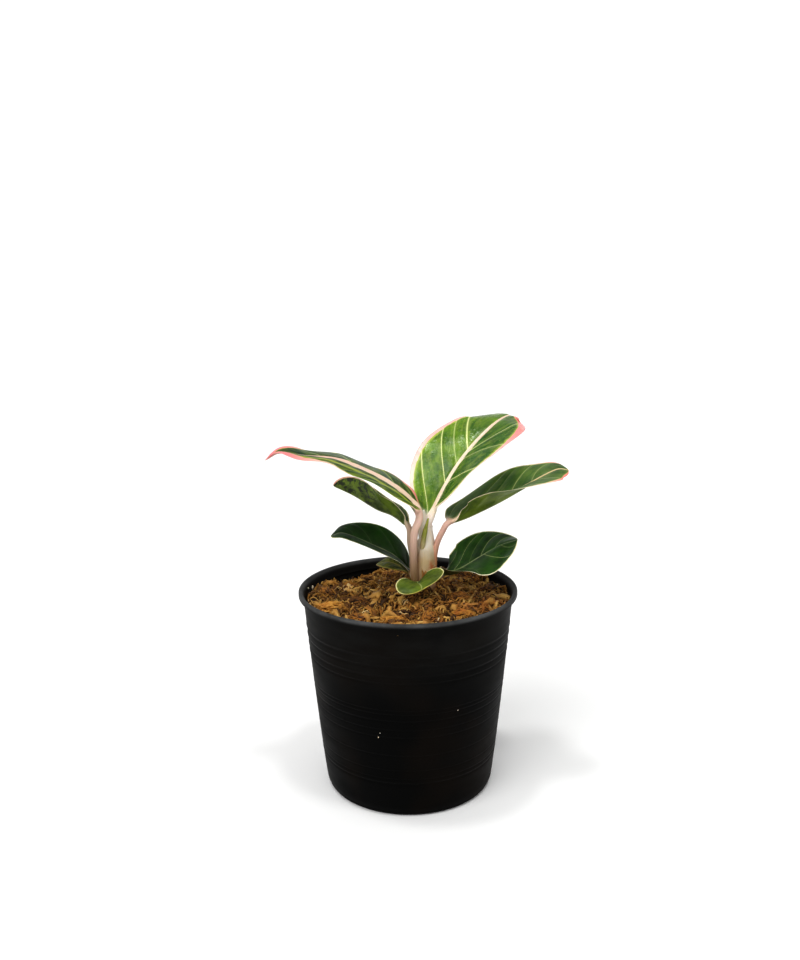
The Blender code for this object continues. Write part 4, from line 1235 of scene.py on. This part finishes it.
@dataclass(frozen=True)
class GrowingMedium:
    """The mass of husk and moss, with strands, crumbs and stray specks.

    A mound or dip is its height or depth, and how far it spreads. Strands start within strand_reach of
    the pot's axis and stay within strand_limit, crumbs within crumb_reach, and all stay stem_clear of
    the stem. A speck is its compass angle, height, half size, and whether it is inside the pot.
    """

    pot: Pot = field(default_factory=Pot)
    level: float = 92.4
    mound: Pair = (6.2, 18.0)
    stem_place: Pair = (8.2, 1.5)
    dip_place: Pair = (-27.0, 36.0)
    dip: Pair = (4.0, 14.0)
    seat: float = 0.3
    rings: int = 84
    steps: int = 300
    strands: tuple[Strands, ...] = (
        Strands("moss_fine", 1, 1500, (4.0, 9.0), (0.18, 0.42), (0.3, 2.6), (0.2, 0.75)),
        Strands("moss_broad", 2, 1500, (7.0, 13.0), (0.35, 0.85), (0.5, 3.2), (0.08, 0.62)),
        Strands("moss_flakes", 4, 166, (8.0, 14.0), (1.3, 2.4), (0.4, 3.2), (0.24, 0.78)),
        Strands("moss_curls", 3, 500, (5.0, 10.0), (0.14, 0.34), (1.0, 3.0), (0.4, 0.9)))
    strand_reach: float = 46.5
    strand_limit: float = 48.0
    strand_rows: int = 9
    strand_sides: int = 4
    crumbs: int = 300
    crumb_reach: float = 45.5
    stem_clear: float = 6.5
    seed: int = 41
    specks: tuple[tuple[float, float, float, bool], ...] = (
        (-108.3, 41.2, 0.36, False), (-107.2, 43.5, 0.26, False), (-62.0, 53.0, 0.28, False),
        (164.5, 93.6, 1.2, True), (171.6, 95.2, 0.6, True))

    def base_height(self, x: float, y: float) -> float:
        """Height of the surface before its fine lumps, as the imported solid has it.

        Args:
            x: place across.
            y: place in depth.

        Returns:
            The height.
        """
        rise, spread = self.mound
        depth, reach = self.dip
        from_stem = math.hypot(x - self.stem_place[0], y - self.stem_place[1])
        from_dip = math.hypot(x - self.dip_place[0], y - self.dip_place[1])
        lumps = (0.9 * noise.noise(Vector((x, y, 0)) / 9.0) + 0.5 * noise.noise(Vector((x, y, 40)) / 4.5))
        return (self.level + rise * math.exp(-(from_stem / spread) ** 2)
                - depth * math.exp(-(from_dip / reach) ** 2) + lumps)

    @staticmethod
    def moss_detail(x: float, y: float) -> float:
        """Lumps and torn fibres on the surface, about 2 mm up and down.

        Args:
            x: place across.
            y: place in depth.

        Returns:
            The rise over the base height.
        """
        spot = Vector((x, y, 3)) / 6.0
        warp = Vector([noise.noise(spot + Vector((0, 0, layer))) for layer in (0.0, 13.7, 29.1)]) * 2.6
        place = Vector((x, y, 0)) + warp
        clumps = 1 - 2.8 * abs(noise.noise(place / 8.0))
        flakes = 1 - 2.4 * abs(noise.noise(Vector((place.x * 0.26, place.y * 0.44, 9.0))))
        fibres = 1 - 2.0 * abs(noise.noise(Vector((place.x * 0.7, place.y * 1.2, 21.0))))
        return 2.1 * clumps + 0.9 * flakes + 0.3 * fibres - 1.9

    def build_mass(self, finish: HuskFinish) -> bpy.types.Object:
        """Make the mass itself.

        Args:
            finish: colours.

        Returns:
            The piece.
        """
        pot, level = self.pot, self.level
        low, high = pot.floor + 0.02, pot.channel_height + pot.floor + 0.02
        inner_foot, outer_foot = pot.channel
        body = [(0, low), (pot.hub_radius + self.seat, low), (inner_foot + self.seat, high),
                (outer_foot - self.seat, high), (pot.foot_inner - self.seat, low),
                (pot.base_radius - pot.heel, low), (pot.base_radius - pot.wall - 0.1, pot.heel + 0.1)]
        body += [(pot.outer_radius(h) - pot.wall - 0.1, h) for h in (10, 20, 35, 50, 65, 80, 88)]
        edge = pot.outer_radius(level) - pot.wall - 0.3
        top = [(edge * ring / self.rings, level) for ring in range(self.rings, 0, -1)]
        bm = lathe([*body, *top, (0, level)], self.steps)
        tint = bm.verts.layers.float.new("tint")
        for vert in bm.verts:
            if vert.co.z < (level - 0.01) * MM:
                continue
            x, y = vert.co.x / MM, vert.co.y / MM
            detail = self.moss_detail(x, y)
            height = self.base_height(x, y) + detail
            room = min(1.0, (pot.outer_radius(min(height, pot.shoulder_z)) - pot.wall - 0.25) / edge)
            vert.co = Vector((x * room, y * room, height)) * MM
            # Painted shade and light: the tint is darker in the hollows and lighter on the lumps of the moss
            # detail.
            vert[tint] = 0.17 + 0.12 * detail
        piece = make_object("moss_and_husk", bm)
        place_piece(piece, finish.build("moss_and_husk"), "growing_medium", "growing_medium")
        return piece

    def scatter(self, rng: np.random.Generator, count: int, reach: float) -> np.ndarray:
        """Random places on the surface, clear of the stem.

        Args:
            rng: random numbers.
            count: how many places.
            reach: greatest distance from the pot's axis.

        Returns:
            Count by 2 places.
        """
        places = np.zeros((0, 2))
        while len(places) < count:
            angle, radius = rng.uniform(0, TAU, count), reach * np.sqrt(rng.uniform(0, 1, count))
            found = np.stack([radius * np.cos(angle), radius * np.sin(angle)], axis=-1)
            clear = np.linalg.norm(found - np.array(self.stem_place), axis=-1) > self.stem_clear
            places = np.vstack([places, found[clear]])
        return places[:count]

    def heights(self, places: np.ndarray, detail: float) -> np.ndarray:
        """Surface heights at places, with a share of the moss detail.

        Args:
            places: an array of any shape by 2.
            detail: the share.

        Returns:
            A height for each place.
        """
        flat = places.reshape(-1, 2)
        levels = [self.base_height(x, y) + detail * self.moss_detail(x, y) for x, y in flat]
        return np.array(levels).reshape(places.shape[:-1])

    def build_strands(self, kind: Strands, finish: HuskFinish) -> bpy.types.Object:
        """Curled moss strands that lie over the surface.

        Args:
            kind: which strands.
            finish: colours.

        Returns:
            The piece.
        """
        rng = np.random.default_rng(self.seed + kind.draw)
        rows, sides, count = self.strand_rows, self.strand_sides, kind.count
        t = np.linspace(0, 1, rows)
        start = self.scatter(rng, count, self.strand_reach)
        ground = np.pad(start, ((0, 0), (0, 1)))
        combed = 2.0 * TAU * scatter_noise(ground, 20.0, 2)[:, None]
        heading = (combed + rng.normal(0, 0.45, (count, 1)) + rng.normal(0, 0.9, (count, 1)) * (t - 0.5)
                   + rng.normal(0, 0.5, (count, 1)) * np.sin(TAU * t * rng.uniform(0.8, 2.0, (count, 1))))
        length = rng.uniform(*kind.long, (count, 1)) / (rows - 1)
        stride = np.stack([np.cos(heading), np.sin(heading)], -1) * length[..., None]
        flat = start[:, None] + np.cumsum(stride, 1)
        reach = np.linalg.norm(flat, axis=-1, keepdims=True)
        flat *= np.minimum(1.0, self.strand_limit / reach)
        lift = rng.uniform(*kind.rise, (count, 1)) * np.sin(math.pi * t) ** 0.8 - 0.5
        lift += rng.normal(0, 0.8, (count, 1)) * (t - 0.5) + rng.normal(0, 0.25, (count, rows))
        height = self.heights(flat, 0.8) + lift
        path = np.concatenate([flat, height[..., None]], axis=-1)
        twist = rng.uniform(-1.2, 1.2, (count, 1)) + rng.normal(0, 1.2, (count, 1)) * t
        half = rng.uniform(*kind.half_wide, (count, 1)) * (0.25 + 0.75 * np.sin(math.pi * t) ** 0.6)
        half *= rng.uniform(0.7, 1.3, (count, rows))
        points = tube_points(path, half, 0.4 * half, sides, twist)
        clump = 0.5 * scatter_noise(ground, 7.0, 4)[:, None, None]
        # Painted light and shade: the tint rises with a strand's lift, so raised strands are lighter and low
        # ones darker.
        tint = rng.uniform(*kind.tone, (count, 1, 1)) + clump + 0.15 * np.clip(lift, -1.5, 1.5)[..., None]
        tint = np.broadcast_to(tint, (count, rows, sides + 1))
        piece = make_object(kind.name, skin(points, {"tint": tint}))
        place_piece(piece, finish.build(kind.name), "growing_medium")
        return piece

    def build_crumbs(self, finish: HuskFinish) -> bpy.types.Object:
        """Small torn bits of husk strewn over the surface.

        Args:
            finish: colours.

        Returns:
            The piece.
        """
        rng = np.random.default_rng(self.seed + 90)
        bm = bmesh.new()
        bmesh.ops.create_icosphere(bm, subdivisions=2, radius=1.0)
        ball = np.array([vert.co for vert in bm.verts])
        places = self.scatter(rng, self.crumbs, self.crumb_reach)
        level = self.heights(places, 0.7)
        points = np.zeros((self.crumbs, len(ball), 3))
        for index, (place, height) in enumerate(zip(places, level)):
            push = 1 + 0.55 * scatter_noise(ball, 0.8, index)[:, None]
            size = np.array([rng.uniform(1.0, 2.6), rng.uniform(0.6, 1.4), rng.uniform(0.5, 1.0)])
            turn = Matrix.Rotation(rng.uniform(0, TAU), 3, "Z") @ Matrix.Rotation(rng.normal(0, 0.5), 3, "Y")
            points[index] = (ball * push * size) @ np.array(turn).T + (*place, height + 0.2)
        tint = np.broadcast_to(rng.uniform(0.2, 0.8, (self.crumbs, 1)), points.shape[:2])
        spread_copies(bm, points, {"tint": tint})
        bmesh.ops.recalc_face_normals(bm, faces=bm.faces)
        piece = make_object("husk_crumbs", bm)
        place_piece(piece, finish.build("husk_crumbs"), "growing_medium")
        return piece

    def build_specks(self, finish: HuskFinish) -> bpy.types.Object:
        """Pale specks of perlite stuck to the pot's wall.

        Args:
            finish: colours.

        Returns:
            The piece.
        """
        bm = bmesh.new()
        tint = bm.verts.layers.float.new("tint")
        for index, (angle, height, size, inside) in enumerate(self.specks):
            radius = self.pot.outer_radius(height) + (-self.pot.wall - 0.35 * size if inside else 0.05)
            turn = math.radians(angle)
            middle = Vector((radius * math.cos(turn), radius * math.sin(turn), height))
            shape = Matrix.Diagonal((size * 0.45 * MM, size * 0.6 * MM, size * MM, 1.0))
            made = bmesh.ops.create_icosphere(bm, subdivisions=2, radius=1.0)["verts"]
            for vert in made:
                vert.co *= 1 + 0.4 * noise.noise(vert.co * 1.3 + Vector((index * 4.0, 0, 0)))
                vert[tint] = 1.7
            spin = Matrix.Rotation(turn, 4, "Z")
            bmesh.ops.transform(bm, verts=made, matrix=Matrix.Translation(middle * MM) @ spin @ shape)
        piece = make_object("stray_specks", bm)
        place_piece(piece, finish.build("stray_specks"), "growing_medium")
        return piece

    def build(self) -> None:
        """Make the mass, the strands, the crumbs and the specks."""
        finish = HuskFinish()
        self.build_mass(finish)
        for kind in self.strands:
            self.build_strands(kind, finish)
        self.build_crumbs(finish)
        self.build_specks(finish)


@dataclass(frozen=True)
class HuskChip:
    """A torn chip of husk that lies on the medium."""

    place: Pair
    half_sizes: Triple
    turn: float
    tint: float
    subdivisions: int = 5

    RISE = 0.35
    TILT = 9.0

    def build(self, medium: GrowingMedium, number: int, material: bpy.types.Material) -> bpy.types.Object:
        """Make the chip: a lump with torn fibres along it.

        Args:
            medium: what it lies on.
            number: which chip it is, which also picks its shape.
            material: its finish.

        Returns:
            The piece.
        """
        bm = bmesh.new()
        bmesh.ops.create_icosphere(bm, subdivisions=self.subdivisions, radius=1.0)
        tint = bm.verts.layers.float.new("tint")
        shift = Vector((number * 3.1, 0, 0))
        for vert in bm.verts:
            spot = vert.co.copy()
            push = 1 + 0.28 * noise.noise(spot * 1.7 + shift)
            torn = abs(noise.noise(Vector((spot.x * 1.6, spot.y * 5.0, spot.z * 5.0)) + shift * 2))
            fibres = abs(noise.noise(Vector((spot.x * 4.0, spot.y * 13.0, spot.z * 13.0)) - shift))
            push += 0.16 - 0.55 * torn - 0.22 * fibres
            vert.co = Vector([value * half * push for value, half in zip(spot, self.half_sizes)])
            # Painted shade: the tint is darker in the torn grooves and fibres pressed into the chip.
            vert[tint] = self.tint + 0.25 - 0.9 * torn - 0.35 * fibres
        x, y = self.place
        middle = medium.base_height(x, y) + self.RISE * self.half_sizes[2]
        tilt = Matrix.Rotation(math.radians(self.TILT * math.sin(number)), 4, "Y")
        spin = Matrix.Rotation(math.radians(self.turn), 4, "Z")
        bmesh.ops.transform(bm, verts=bm.verts, matrix=Matrix.Translation((x, y, middle)) @ spin @ tilt)
        bmesh.ops.scale(bm, verts=bm.verts, vec=(MM, MM, MM))
        bmesh.ops.recalc_face_normals(bm, faces=bm.faces)
        node = f"husk_chip_{number:02d}"
        piece = make_object("torn_" + node, bm)
        place_piece(piece, material, "dry_husk", node)
        return piece


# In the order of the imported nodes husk_chip_01 to husk_chip_14
CHIPS = (
    HuskChip((-36.0, -18.0), (7.5, 4.6, 3.0), 25, 0.80),
    HuskChip((-22.5, -33.0), (5.2, 3.6, 2.6), -20, 0.50),
    HuskChip((-7.5, -34.5), (6.4, 3.2, 2.4), 12, 0.75),
    HuskChip((9.5, -33.0), (5.0, 3.6, 2.8), 70, 0.55),
    HuskChip((24.5, -28.0), (6.8, 3.8, 2.8), -35, 0.62),
    HuskChip((37.5, -12.5), (5.4, 3.8, 3.0), 80, 0.45),
    HuskChip((39.5, 6.5), (5.2, 3.4, 2.8), 55, 0.40),
    HuskChip((30.5, 24.0), (6.0, 3.6, 3.2), -40, 0.50),
    HuskChip((10.0, 30.0), (5.6, 3.8, 2.6), 15, 0.45),
    HuskChip((-9.0, 31.5), (5.0, 3.2, 2.6), -60, 0.50),
    HuskChip((-40.0, 4.5), (5.4, 3.4, 2.8), 95, 0.50),
    HuskChip((-24.5, -9.0), (5.6, 3.4, 2.4), -15, 0.40),
    HuskChip((-28.0, 12.5), (4.8, 3.2, 2.6), 40, 0.45),
    HuskChip((24.5, -9.5), (4.6, 3.0, 2.4), 10, 0.48),
)


# Stem and small pieces


@dataclass(frozen=True)
class StemFinish:
    """Cream to beige stem: faint lines up it, whitish at the top and rusty where old sheaths tore."""

    foot: Colour = srgb(146, 108, 72)
    middle: Colour = srgb(186, 164, 124)
    top: Colour = srgb(214, 206, 190)
    pink: Colour = srgb(180, 134, 106)
    rust: Colour = srgb(176, 98, 46)
    line: Colour = srgb(222, 200, 166)

    def build(self, name: str) -> bpy.types.Material:
        """Make the material.

        Args:
            name: the material's name.

        Returns:
            The material.
        """
        tree = Tree(name)
        lines = tree.noise(1.0, 4.0, 0.6, tree.stretched((900.0, 900.0, 45.0)))
        height = tree.axis(2)
        side = tree.axis(0)
        wobble = (tree.noise(220.0, 3.0, 0.6) - 0.5) * 0.006
        level = height + wobble
        colour = tree.mix(level.step(0.098, 0.106), self.foot, self.middle)
        colour = tree.mix(level.step(0.111, 0.121), colour, self.top)
        flushed = (side + wobble * 0.3).step(0.0072, 0.0040) * level.step(0.120, 0.112) * 0.7
        colour = tree.mix(flushed, colour, self.pink)
        colour = tree.mix(lines.step(0.48, 0.72) * 0.45, colour, self.line)
        patch = (level.step(0.100, 0.103) * level.step(0.114, 0.109)
                 * (side + wobble * 0.5).step(0.0088, 0.0115))
        colour = tree.mix(patch * tree.noise(420.0, 3.0, 0.6).step(0.34, 0.56) * 0.85, colour, self.rust)
        return tree.finish(colour, lines.step(0.3, 0.7, 0.38, 0.55), tree.bump(lines, 0.25, 0.8),
                           soaked(0.2, (1.0, 0.7, 0.4), 0.002))


@dataclass(frozen=True)
class Stem:
    """The short stem with old sheaths wrapped round it, running up into the top leaf's petiole.

    radii are heights with the radius there. A seam is where a sheath's edge starts round the stem and
    how far it winds for each millimetre of height, in radians.
    """

    path: tuple[Point, ...] = ((8.2, 1.5, 80.0), (8.2, 1.5, 98.0), (8.2, 1.5, 110.0), (8.4, 1.4, 117.0),
                               (9.0, 1.7, 122.0), (9.9, 2.1, 128.0))
    radii: tuple[Pair, ...] = (
        (80.0, 4.2), (88.0, 5.0), (98.0, 5.6), (106.0, 5.6), (112.0, 5.4), (117.0, 4.9), (122.0, 3.5),
        (128.0, 1.7))
    seams: tuple[Pair, ...] = ((-1.0, 0.05), (1.6, -0.04), (3.6, 0.03))
    wing_outer: tuple[Point, ...] = (
        (6.3, -2.4, 115.0), (5.5, -2.0, 121.0), (5.0, -1.4, 128.0), (5.2, -0.8, 134.6))
    wing_inner: tuple[Point, ...] = (
        (8.4, -1.2, 115.0), (8.8, 0.6, 121.0), (9.6, 1.5, 128.0), (8.2, 1.0, 136.0))
    rows: int = 110
    sides: int = 96

    def radius(self, height: np.ndarray | float) -> np.ndarray | float:
        """Radius at a height."""
        heights, radii = zip(*self.radii)
        return np.interp(height, heights, radii)

    def build_column(self) -> bpy.types.Object:
        """Make the stem: a column whose wrapped sheaths leave steps that wind up it.

        Returns:
            The piece.
        """
        path = resample(smooth_curve(self.path, 12), np.linspace(0, 1, self.rows))
        radius = self.radius(path[:, 2])
        angle = np.linspace(0, TAU, self.sides + 1)[None, :] + np.zeros((self.rows, 1))
        level = path[:, 2:3]
        grown = radius[:, None] + np.zeros_like(angle)
        for start, wind in self.seams:
            grown += 0.34 * np.exp(-((angle - start - wind * (level - 98)) % TAU) / 0.35)
        round_place = np.stack([3.2 * np.cos(angle), 3.2 * np.sin(angle), level * 0.06 + 0 * angle], axis=-1)
        grown += 0.18 * scatter_noise(round_place, 1.0)
        points = np.stack([path[:, :1] + grown * np.cos(angle), path[:, 1:2] + grown * np.sin(angle),
                           level + 0 * angle], axis=-1)
        points[:, -1] = points[:, 0]
        piece = make_object("wrapped_stem", skin(cap_ends(points)))
        place_piece(piece, StemFinish().build("wrapped_stem"), "stem_flesh", "stem")
        return piece

    def build_wing(self) -> bpy.types.Object:
        """Make the thin pale wing that joins the top leaf's petiole to the stem.

        Returns:
            The piece.
        """
        shares = np.linspace(0, 1, 60)
        outer = resample(smooth_curve(self.wing_outer, 12), shares)[:, None]
        inner = resample(smooth_curve(self.wing_inner, 12), shares)[:, None]
        stops = np.linspace(0, 1, 16)
        down = shares[:, None]
        normal = unit(np.cross(inner[:, 0] - outer[:, 0], tangents(outer[:, 0])))[:, None]
        bow = 0.7 * np.sin(math.pi * stops) * np.sin(math.pi * down)
        half = (0.10 + 0.18 * stops) * np.sin(math.pi * np.clip(down, 0.02, 0.98)) ** 0.4
        sheet = outer + (inner - outer) * stops[None, :, None] + bow[..., None] * normal
        front, back = sheet + half[..., None] * normal, sheet - half[..., None] * normal
        points = np.concatenate([front, back[:, ::-1], front[:, :1]], axis=1)
        piece = make_object("petiole_wing", skin(cap_ends(points)))
        finish = StemFinish(middle=srgb(214, 206, 192), line=srgb(236, 230, 224))
        place_piece(piece, finish.build("petiole_wing"), "stem_flesh")
        return piece


@dataclass(frozen=True)
class FibreFinish:
    """Dry plant fibre: brown with paler lines along it."""

    dark: Colour
    light: Colour

    def build(self, name: str) -> bpy.types.Material:
        """Make the material.

        Args:
            name: the material's name.

        Returns:
            The material.
        """
        tree = Tree(name)
        lines = tree.noise(1.0, 4.0, 0.65, tree.stretched((1400.0, 1400.0, 160.0)))
        colour = tree.mix(lines.step(0.35, 0.7), self.dark, self.light)
        return tree.finish(colour, 0.75, tree.bump(lines, 0.3, 0.9), {"Specular IOR Level": 0.3})


@dataclass(frozen=True)
class RolledLeaf:
    """The youngest leaf, rolled to a spindle in the fork of the petioles."""

    path: tuple[Point, ...] = ((6.8, -0.9, 113.6), (7.2, -2.8, 119.5), (8.3, -3.7, 126.5), (9.9, -3.5, 132.8))
    radii: tuple[float, ...] = (1.1, 1.35, 1.2, 0.35)
    overlap: float = 0.22
    rows: int = 70
    sides: int = 40

    def build(self) -> bpy.types.Object:
        """Make the rolled leaf: a spindle with the step of its rolled edge winding up it.

        Returns:
            The piece.
        """
        shares = np.linspace(0, 1, self.rows)
        path = resample(smooth_curve(self.path, 12), shares)
        radius = np.interp(shares, np.linspace(0, 1, 4), self.radii)
        points = tube_points(path, radius, radius, self.sides)
        angle = np.linspace(0, TAU, self.sides + 1)[None, :]
        turn = (angle - 2.2 * shares[:, None] - 1.0) % TAU
        step = self.overlap * (np.exp(-turn / 1.2) - 0.6) * ease((1 - shares[:, None]) / 0.2)
        grown = close_ends(points + unit(points - path[:, None] + 1e-9) * step[..., None])
        edge = np.exp(-(turn / 0.22) ** 2) + np.exp(-((turn - TAU) / 0.22) ** 2)
        values = {"edge": edge, "along": np.broadcast_to(shares[:, None], edge.shape)}
        piece = make_object("furled_leaf", skin(grown, values))
        tree = Tree("furled_leaf")
        lines = tree.noise(1.0, 4.0, 0.6, tree.stretched((1600.0, 1600.0, 90.0)))
        green = tree.mix(lines.step(0.35, 0.7), srgb(104, 112, 24), srgb(150, 152, 60))
        green = tree.mix(tree.read("along").step(0.64, 0.24), green, srgb(190, 176, 134))
        colour = tree.mix(tree.read("edge").step(0.3, 0.9) * 0.7, green, srgb(212, 196, 150))
        material = tree.finish(colour, 0.42, tree.bump(lines, 0.2, 0.7), soaked(0.12, (1.0, 1.3, 0.5), 0.001))
        place_piece(piece, material, "leaf_green", "rolled_leaf")
        return piece


@dataclass(frozen=True)
class Sheath:
    """A papery scale round the front of the stem, ragged along its top, between two compass angles."""

    stem: Stem = field(default_factory=Stem)
    angles: Pair = (-106.0, -52.0)
    foot: float = 102.8
    top: float = 108.6
    thickness: float = 0.42
    notch: float = 1.6
    slant: float = 2.2
    columns: int = 60
    rows: int = 24

    def build(self) -> bpy.types.Object:
        """Make the scale.

        Returns:
            The piece.
        """
        along = np.linspace(0, 1, self.columns)
        angle = np.radians(self.angles[0] + (self.angles[1] - self.angles[0]) * along)
        tears = np.array([abs(noise.noise(Vector((7.0 * a, 2.0, 0))))
                          + 0.4 * abs(noise.noise(Vector((23.0 * a, 5.0, 0)))) for a in along])
        top = self.top - self.notch * np.abs(np.sin(9 * along)) * 0.8 - 1.3 * tears - self.slant * along
        rise = np.linspace(0, 1, self.rows)
        height = self.foot + (top[:, None] - self.foot) * rise
        thin = self.thickness * (1 - 0.75 * rise) * (0.25 + 0.75 * np.sin(math.pi * along[:, None]) ** 0.5)
        ripple = 0.12 * np.sin(26 * along[:, None] + 3 * rise) * rise
        inner = self.stem.radius(height) + 0.08 + 0.10 * rise ** 2 + ripple
        section = np.concatenate([inner, (inner + thin)[:, ::-1], inner[:, :1]], axis=1)
        level = np.concatenate([height, height[:, ::-1], height[:, :1]], axis=1)
        x, y = self.stem.path[0][:2]
        angle = angle[:, None]
        points = np.stack([x + section * np.cos(angle), y + section * np.sin(angle), level], -1)
        piece = make_object("papery_sheath", skin(cap_ends(points)))
        finish = FibreFinish(srgb(120, 74, 26), srgb(206, 162, 92))
        place_piece(piece, finish.build("papery_sheath"), "dry_husk", "dry_sheath")
        return piece


@dataclass(frozen=True)
class DryFibre:
    """A dry fibre that stands up from the medium, split at its top."""

    path: tuple[Point, ...] = ((-31.0, 1.5, 93.3), (-31.6, 1.9, 97.0), (-32.6, 2.4, 101.5))
    radii: tuple[float, float, float] = (1.0, 0.75, 0.3)
    rows: int = 40
    sides: int = 14

    def build(self) -> bpy.types.Object:
        """Make the fibre from three strands that spread from one foot.

        Returns:
            The piece.
        """
        shares = np.linspace(0, 1, self.rows)
        middle = resample(smooth_curve(self.path, 10), shares)
        radius = np.interp(shares, (0, 0.5, 1), self.radii)
        strands = []
        for index, (turn, spread, reach) in enumerate(((0.4, 0.25, 1.0), (2.6, 1.1, 0.8), (4.4, 0.9, 0.62))):
            route = resample(middle, shares * reach)
            away = (shares ** 1.5 * spread)[:, None] * np.array([math.cos(turn), 0.6 * math.sin(turn), 0.0])
            wander = 0.22 * np.stack([scatter_noise(route, 1.4, index), scatter_noise(route, 1.4, index + 5),
                                      np.zeros(len(route))], axis=-1)
            girth = radius * 0.55 * (1 - 0.7 * shares)
            bent = route + away + wander * shares[:, None]
            strands.append(tube_points(bent, girth, girth * 0.6, self.sides, shares * 2.0 + index))
        piece = make_object("standing_fibre", skin(np.array(strands)))
        finish = FibreFinish(srgb(86, 50, 20), srgb(150, 104, 56))
        place_piece(piece, finish.build("standing_fibre"), "dry_husk", "dry_fibre")
        return piece


@dataclass(frozen=True)
class Roots:
    """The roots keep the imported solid's mesh and get their own finish."""

    node: str = "roots"

    def dress(self) -> None:
        """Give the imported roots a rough, pale finish."""
        tree = Tree("root_flesh")
        patches = tree.noise(300.0, 4.0, 0.6)
        colour = tree.mix(patches.step(0.35, 0.7), srgb(178, 158, 116), srgb(222, 208, 172))
        material = tree.finish(colour, 0.7, tree.bump(patches, 0.3, 0.8))
        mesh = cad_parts[self.node].data
        mesh.materials.clear()
        mesh.materials.append(material)
        LOG.info("%s: packed mesh with its own finish", self.node)


# Studio


@dataclass(frozen=True)
class SoftLight:
    """A wide soft light from one direction, spread being its width in degrees as the plant sees it."""

    name: str
    comes_from: Point
    strength: float
    spread: float

    def build(self) -> None:
        """Make the lamp."""
        lamp = bpy.data.lights.new(self.name, "SUN")
        lamp.energy, lamp.angle = self.strength, math.radians(self.spread)
        holder = bpy.data.objects.new(self.name, lamp)
        holder.rotation_euler = Vector(self.comes_from).to_track_quat("Z", "Y").to_euler()
        bpy.context.scene.collection.objects.link(holder)


@dataclass(frozen=True)
class Studio:
    """Camera, lamps, pale floor and white surroundings.

    surroundings are their brightness at the horizon and overhead, and development is the picture's
    exposure and gamma. The camera looks down by pitch degrees and leans by roll degrees.
    """

    camera_place: Point = (-3.25, -438.0, 242.5)
    pitch: float = 11.86
    roll: float = -0.587
    lens: float = 35.625
    sensor: float = 36.0
    surroundings: Pair = (0.84, 0.36)
    development: Pair = (0.36, 0.84)
    lights: tuple[SoftLight, ...] = (
        SoftLight("key_light", (-0.5, -0.75, 1.0), 1.02, 40.0),
        SoftLight("gloss_light", (-0.16, -0.03, 0.98), 0.40, 7.0),
        SoftLight("glint_light", (0.15, -0.19, 0.89), 0.36, 7.0),
        SoftLight("fill_light", (0.7, -0.7, 0.6), 0.25, 60.0),
        SoftLight("top_light", (0.15, 0.3, 1.2), 0.08, 50.0),
    )

    def build(self) -> None:
        """Set up the picture's tones, the surroundings, the lamps, the floor and the camera."""
        scene = bpy.context.scene
        scene.view_settings.view_transform = "Standard"
        scene.view_settings.look = "None"
        scene.view_settings.exposure, scene.view_settings.gamma = self.development
        world = bpy.data.worlds.new("studio")
        world.use_nodes = True
        nodes, links = world.node_tree.nodes, world.node_tree.links
        place, split = nodes.new("ShaderNodeTexCoord"), nodes.new("ShaderNodeSeparateXYZ")
        fade = nodes.new("ShaderNodeMapRange")
        fade.interpolation_type = "SMOOTHSTEP"
        horizon, zenith = self.surroundings
        for key, value in (("From Min", 0.25), ("From Max", 0.65), ("To Min", horizon), ("To Max", zenith)):
            fade.inputs[key].default_value = value
        nodes["Background"].inputs["Color"].default_value = (1, 1, 1, 1)
        links.new(place.outputs["Generated"], split.inputs[0])
        links.new(split.outputs["Z"], fade.inputs["Value"])
        links.new(fade.outputs["Result"], nodes["Background"].inputs["Strength"])
        scene.world = world
        for light in self.lights:
            light.build()
        bm = bmesh.new()
        bmesh.ops.create_grid(bm, x_segments=1, y_segments=1, size=40.0)
        floor = make_object("floor", bm)
        tree = Tree("floor")
        floor.data.materials.append(tree.finish((0.93, 0.93, 0.925, 1.0), 0.9))
        self.place_camera()

    def place_camera(self) -> None:
        """Put the camera where the photograph was taken from."""
        pitch, roll = math.radians(self.pitch), math.radians(self.roll)
        forward = Vector((0, math.cos(pitch), -math.sin(pitch)))
        level, rising = Vector((1, 0, 0)), Vector((0, math.sin(pitch), math.cos(pitch)))
        right = math.cos(roll) * level + math.sin(roll) * rising
        upward = math.cos(roll) * rising - math.sin(roll) * level
        lens = bpy.data.cameras.new("camera")
        lens.lens, lens.sensor_width, lens.sensor_fit = self.lens, self.sensor, "AUTO"
        lens.clip_start, lens.clip_end = 0.01, 100.0
        camera = bpy.data.objects.new("camera", lens)
        matrix = Matrix((right, upward, -forward)).transposed().to_4x4()
        matrix.translation = Vector(self.camera_place) * MM
        camera.matrix_world = matrix
        bpy.context.scene.collection.objects.link(camera)
        bpy.context.scene.camera = camera


def main() -> None:
    """Build the studio and the potted plant; each piece logs its triangle count as it is placed."""
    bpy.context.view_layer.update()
    Studio().build()
    Pot().build()
    medium = GrowingMedium()
    medium.build()
    husk = HuskFinish(straw=srgb(214, 166, 80), amber=srgb(166, 112, 38)).build("torn_husk", -0.06)
    for number, chip in enumerate(CHIPS, 1):
        chip.build(medium, number, husk)
    stem = Stem()
    stem.build_column()
    stem.build_wing()
    Roots().dress()
    for leaf in LEAVES:
        leaf.build()
    RolledLeaf().build()
    Sheath().build()
    DryFibre().build()


if __name__ == "__main__":
    logging.basicConfig(level=logging.INFO, format="%(message)s")
    main()
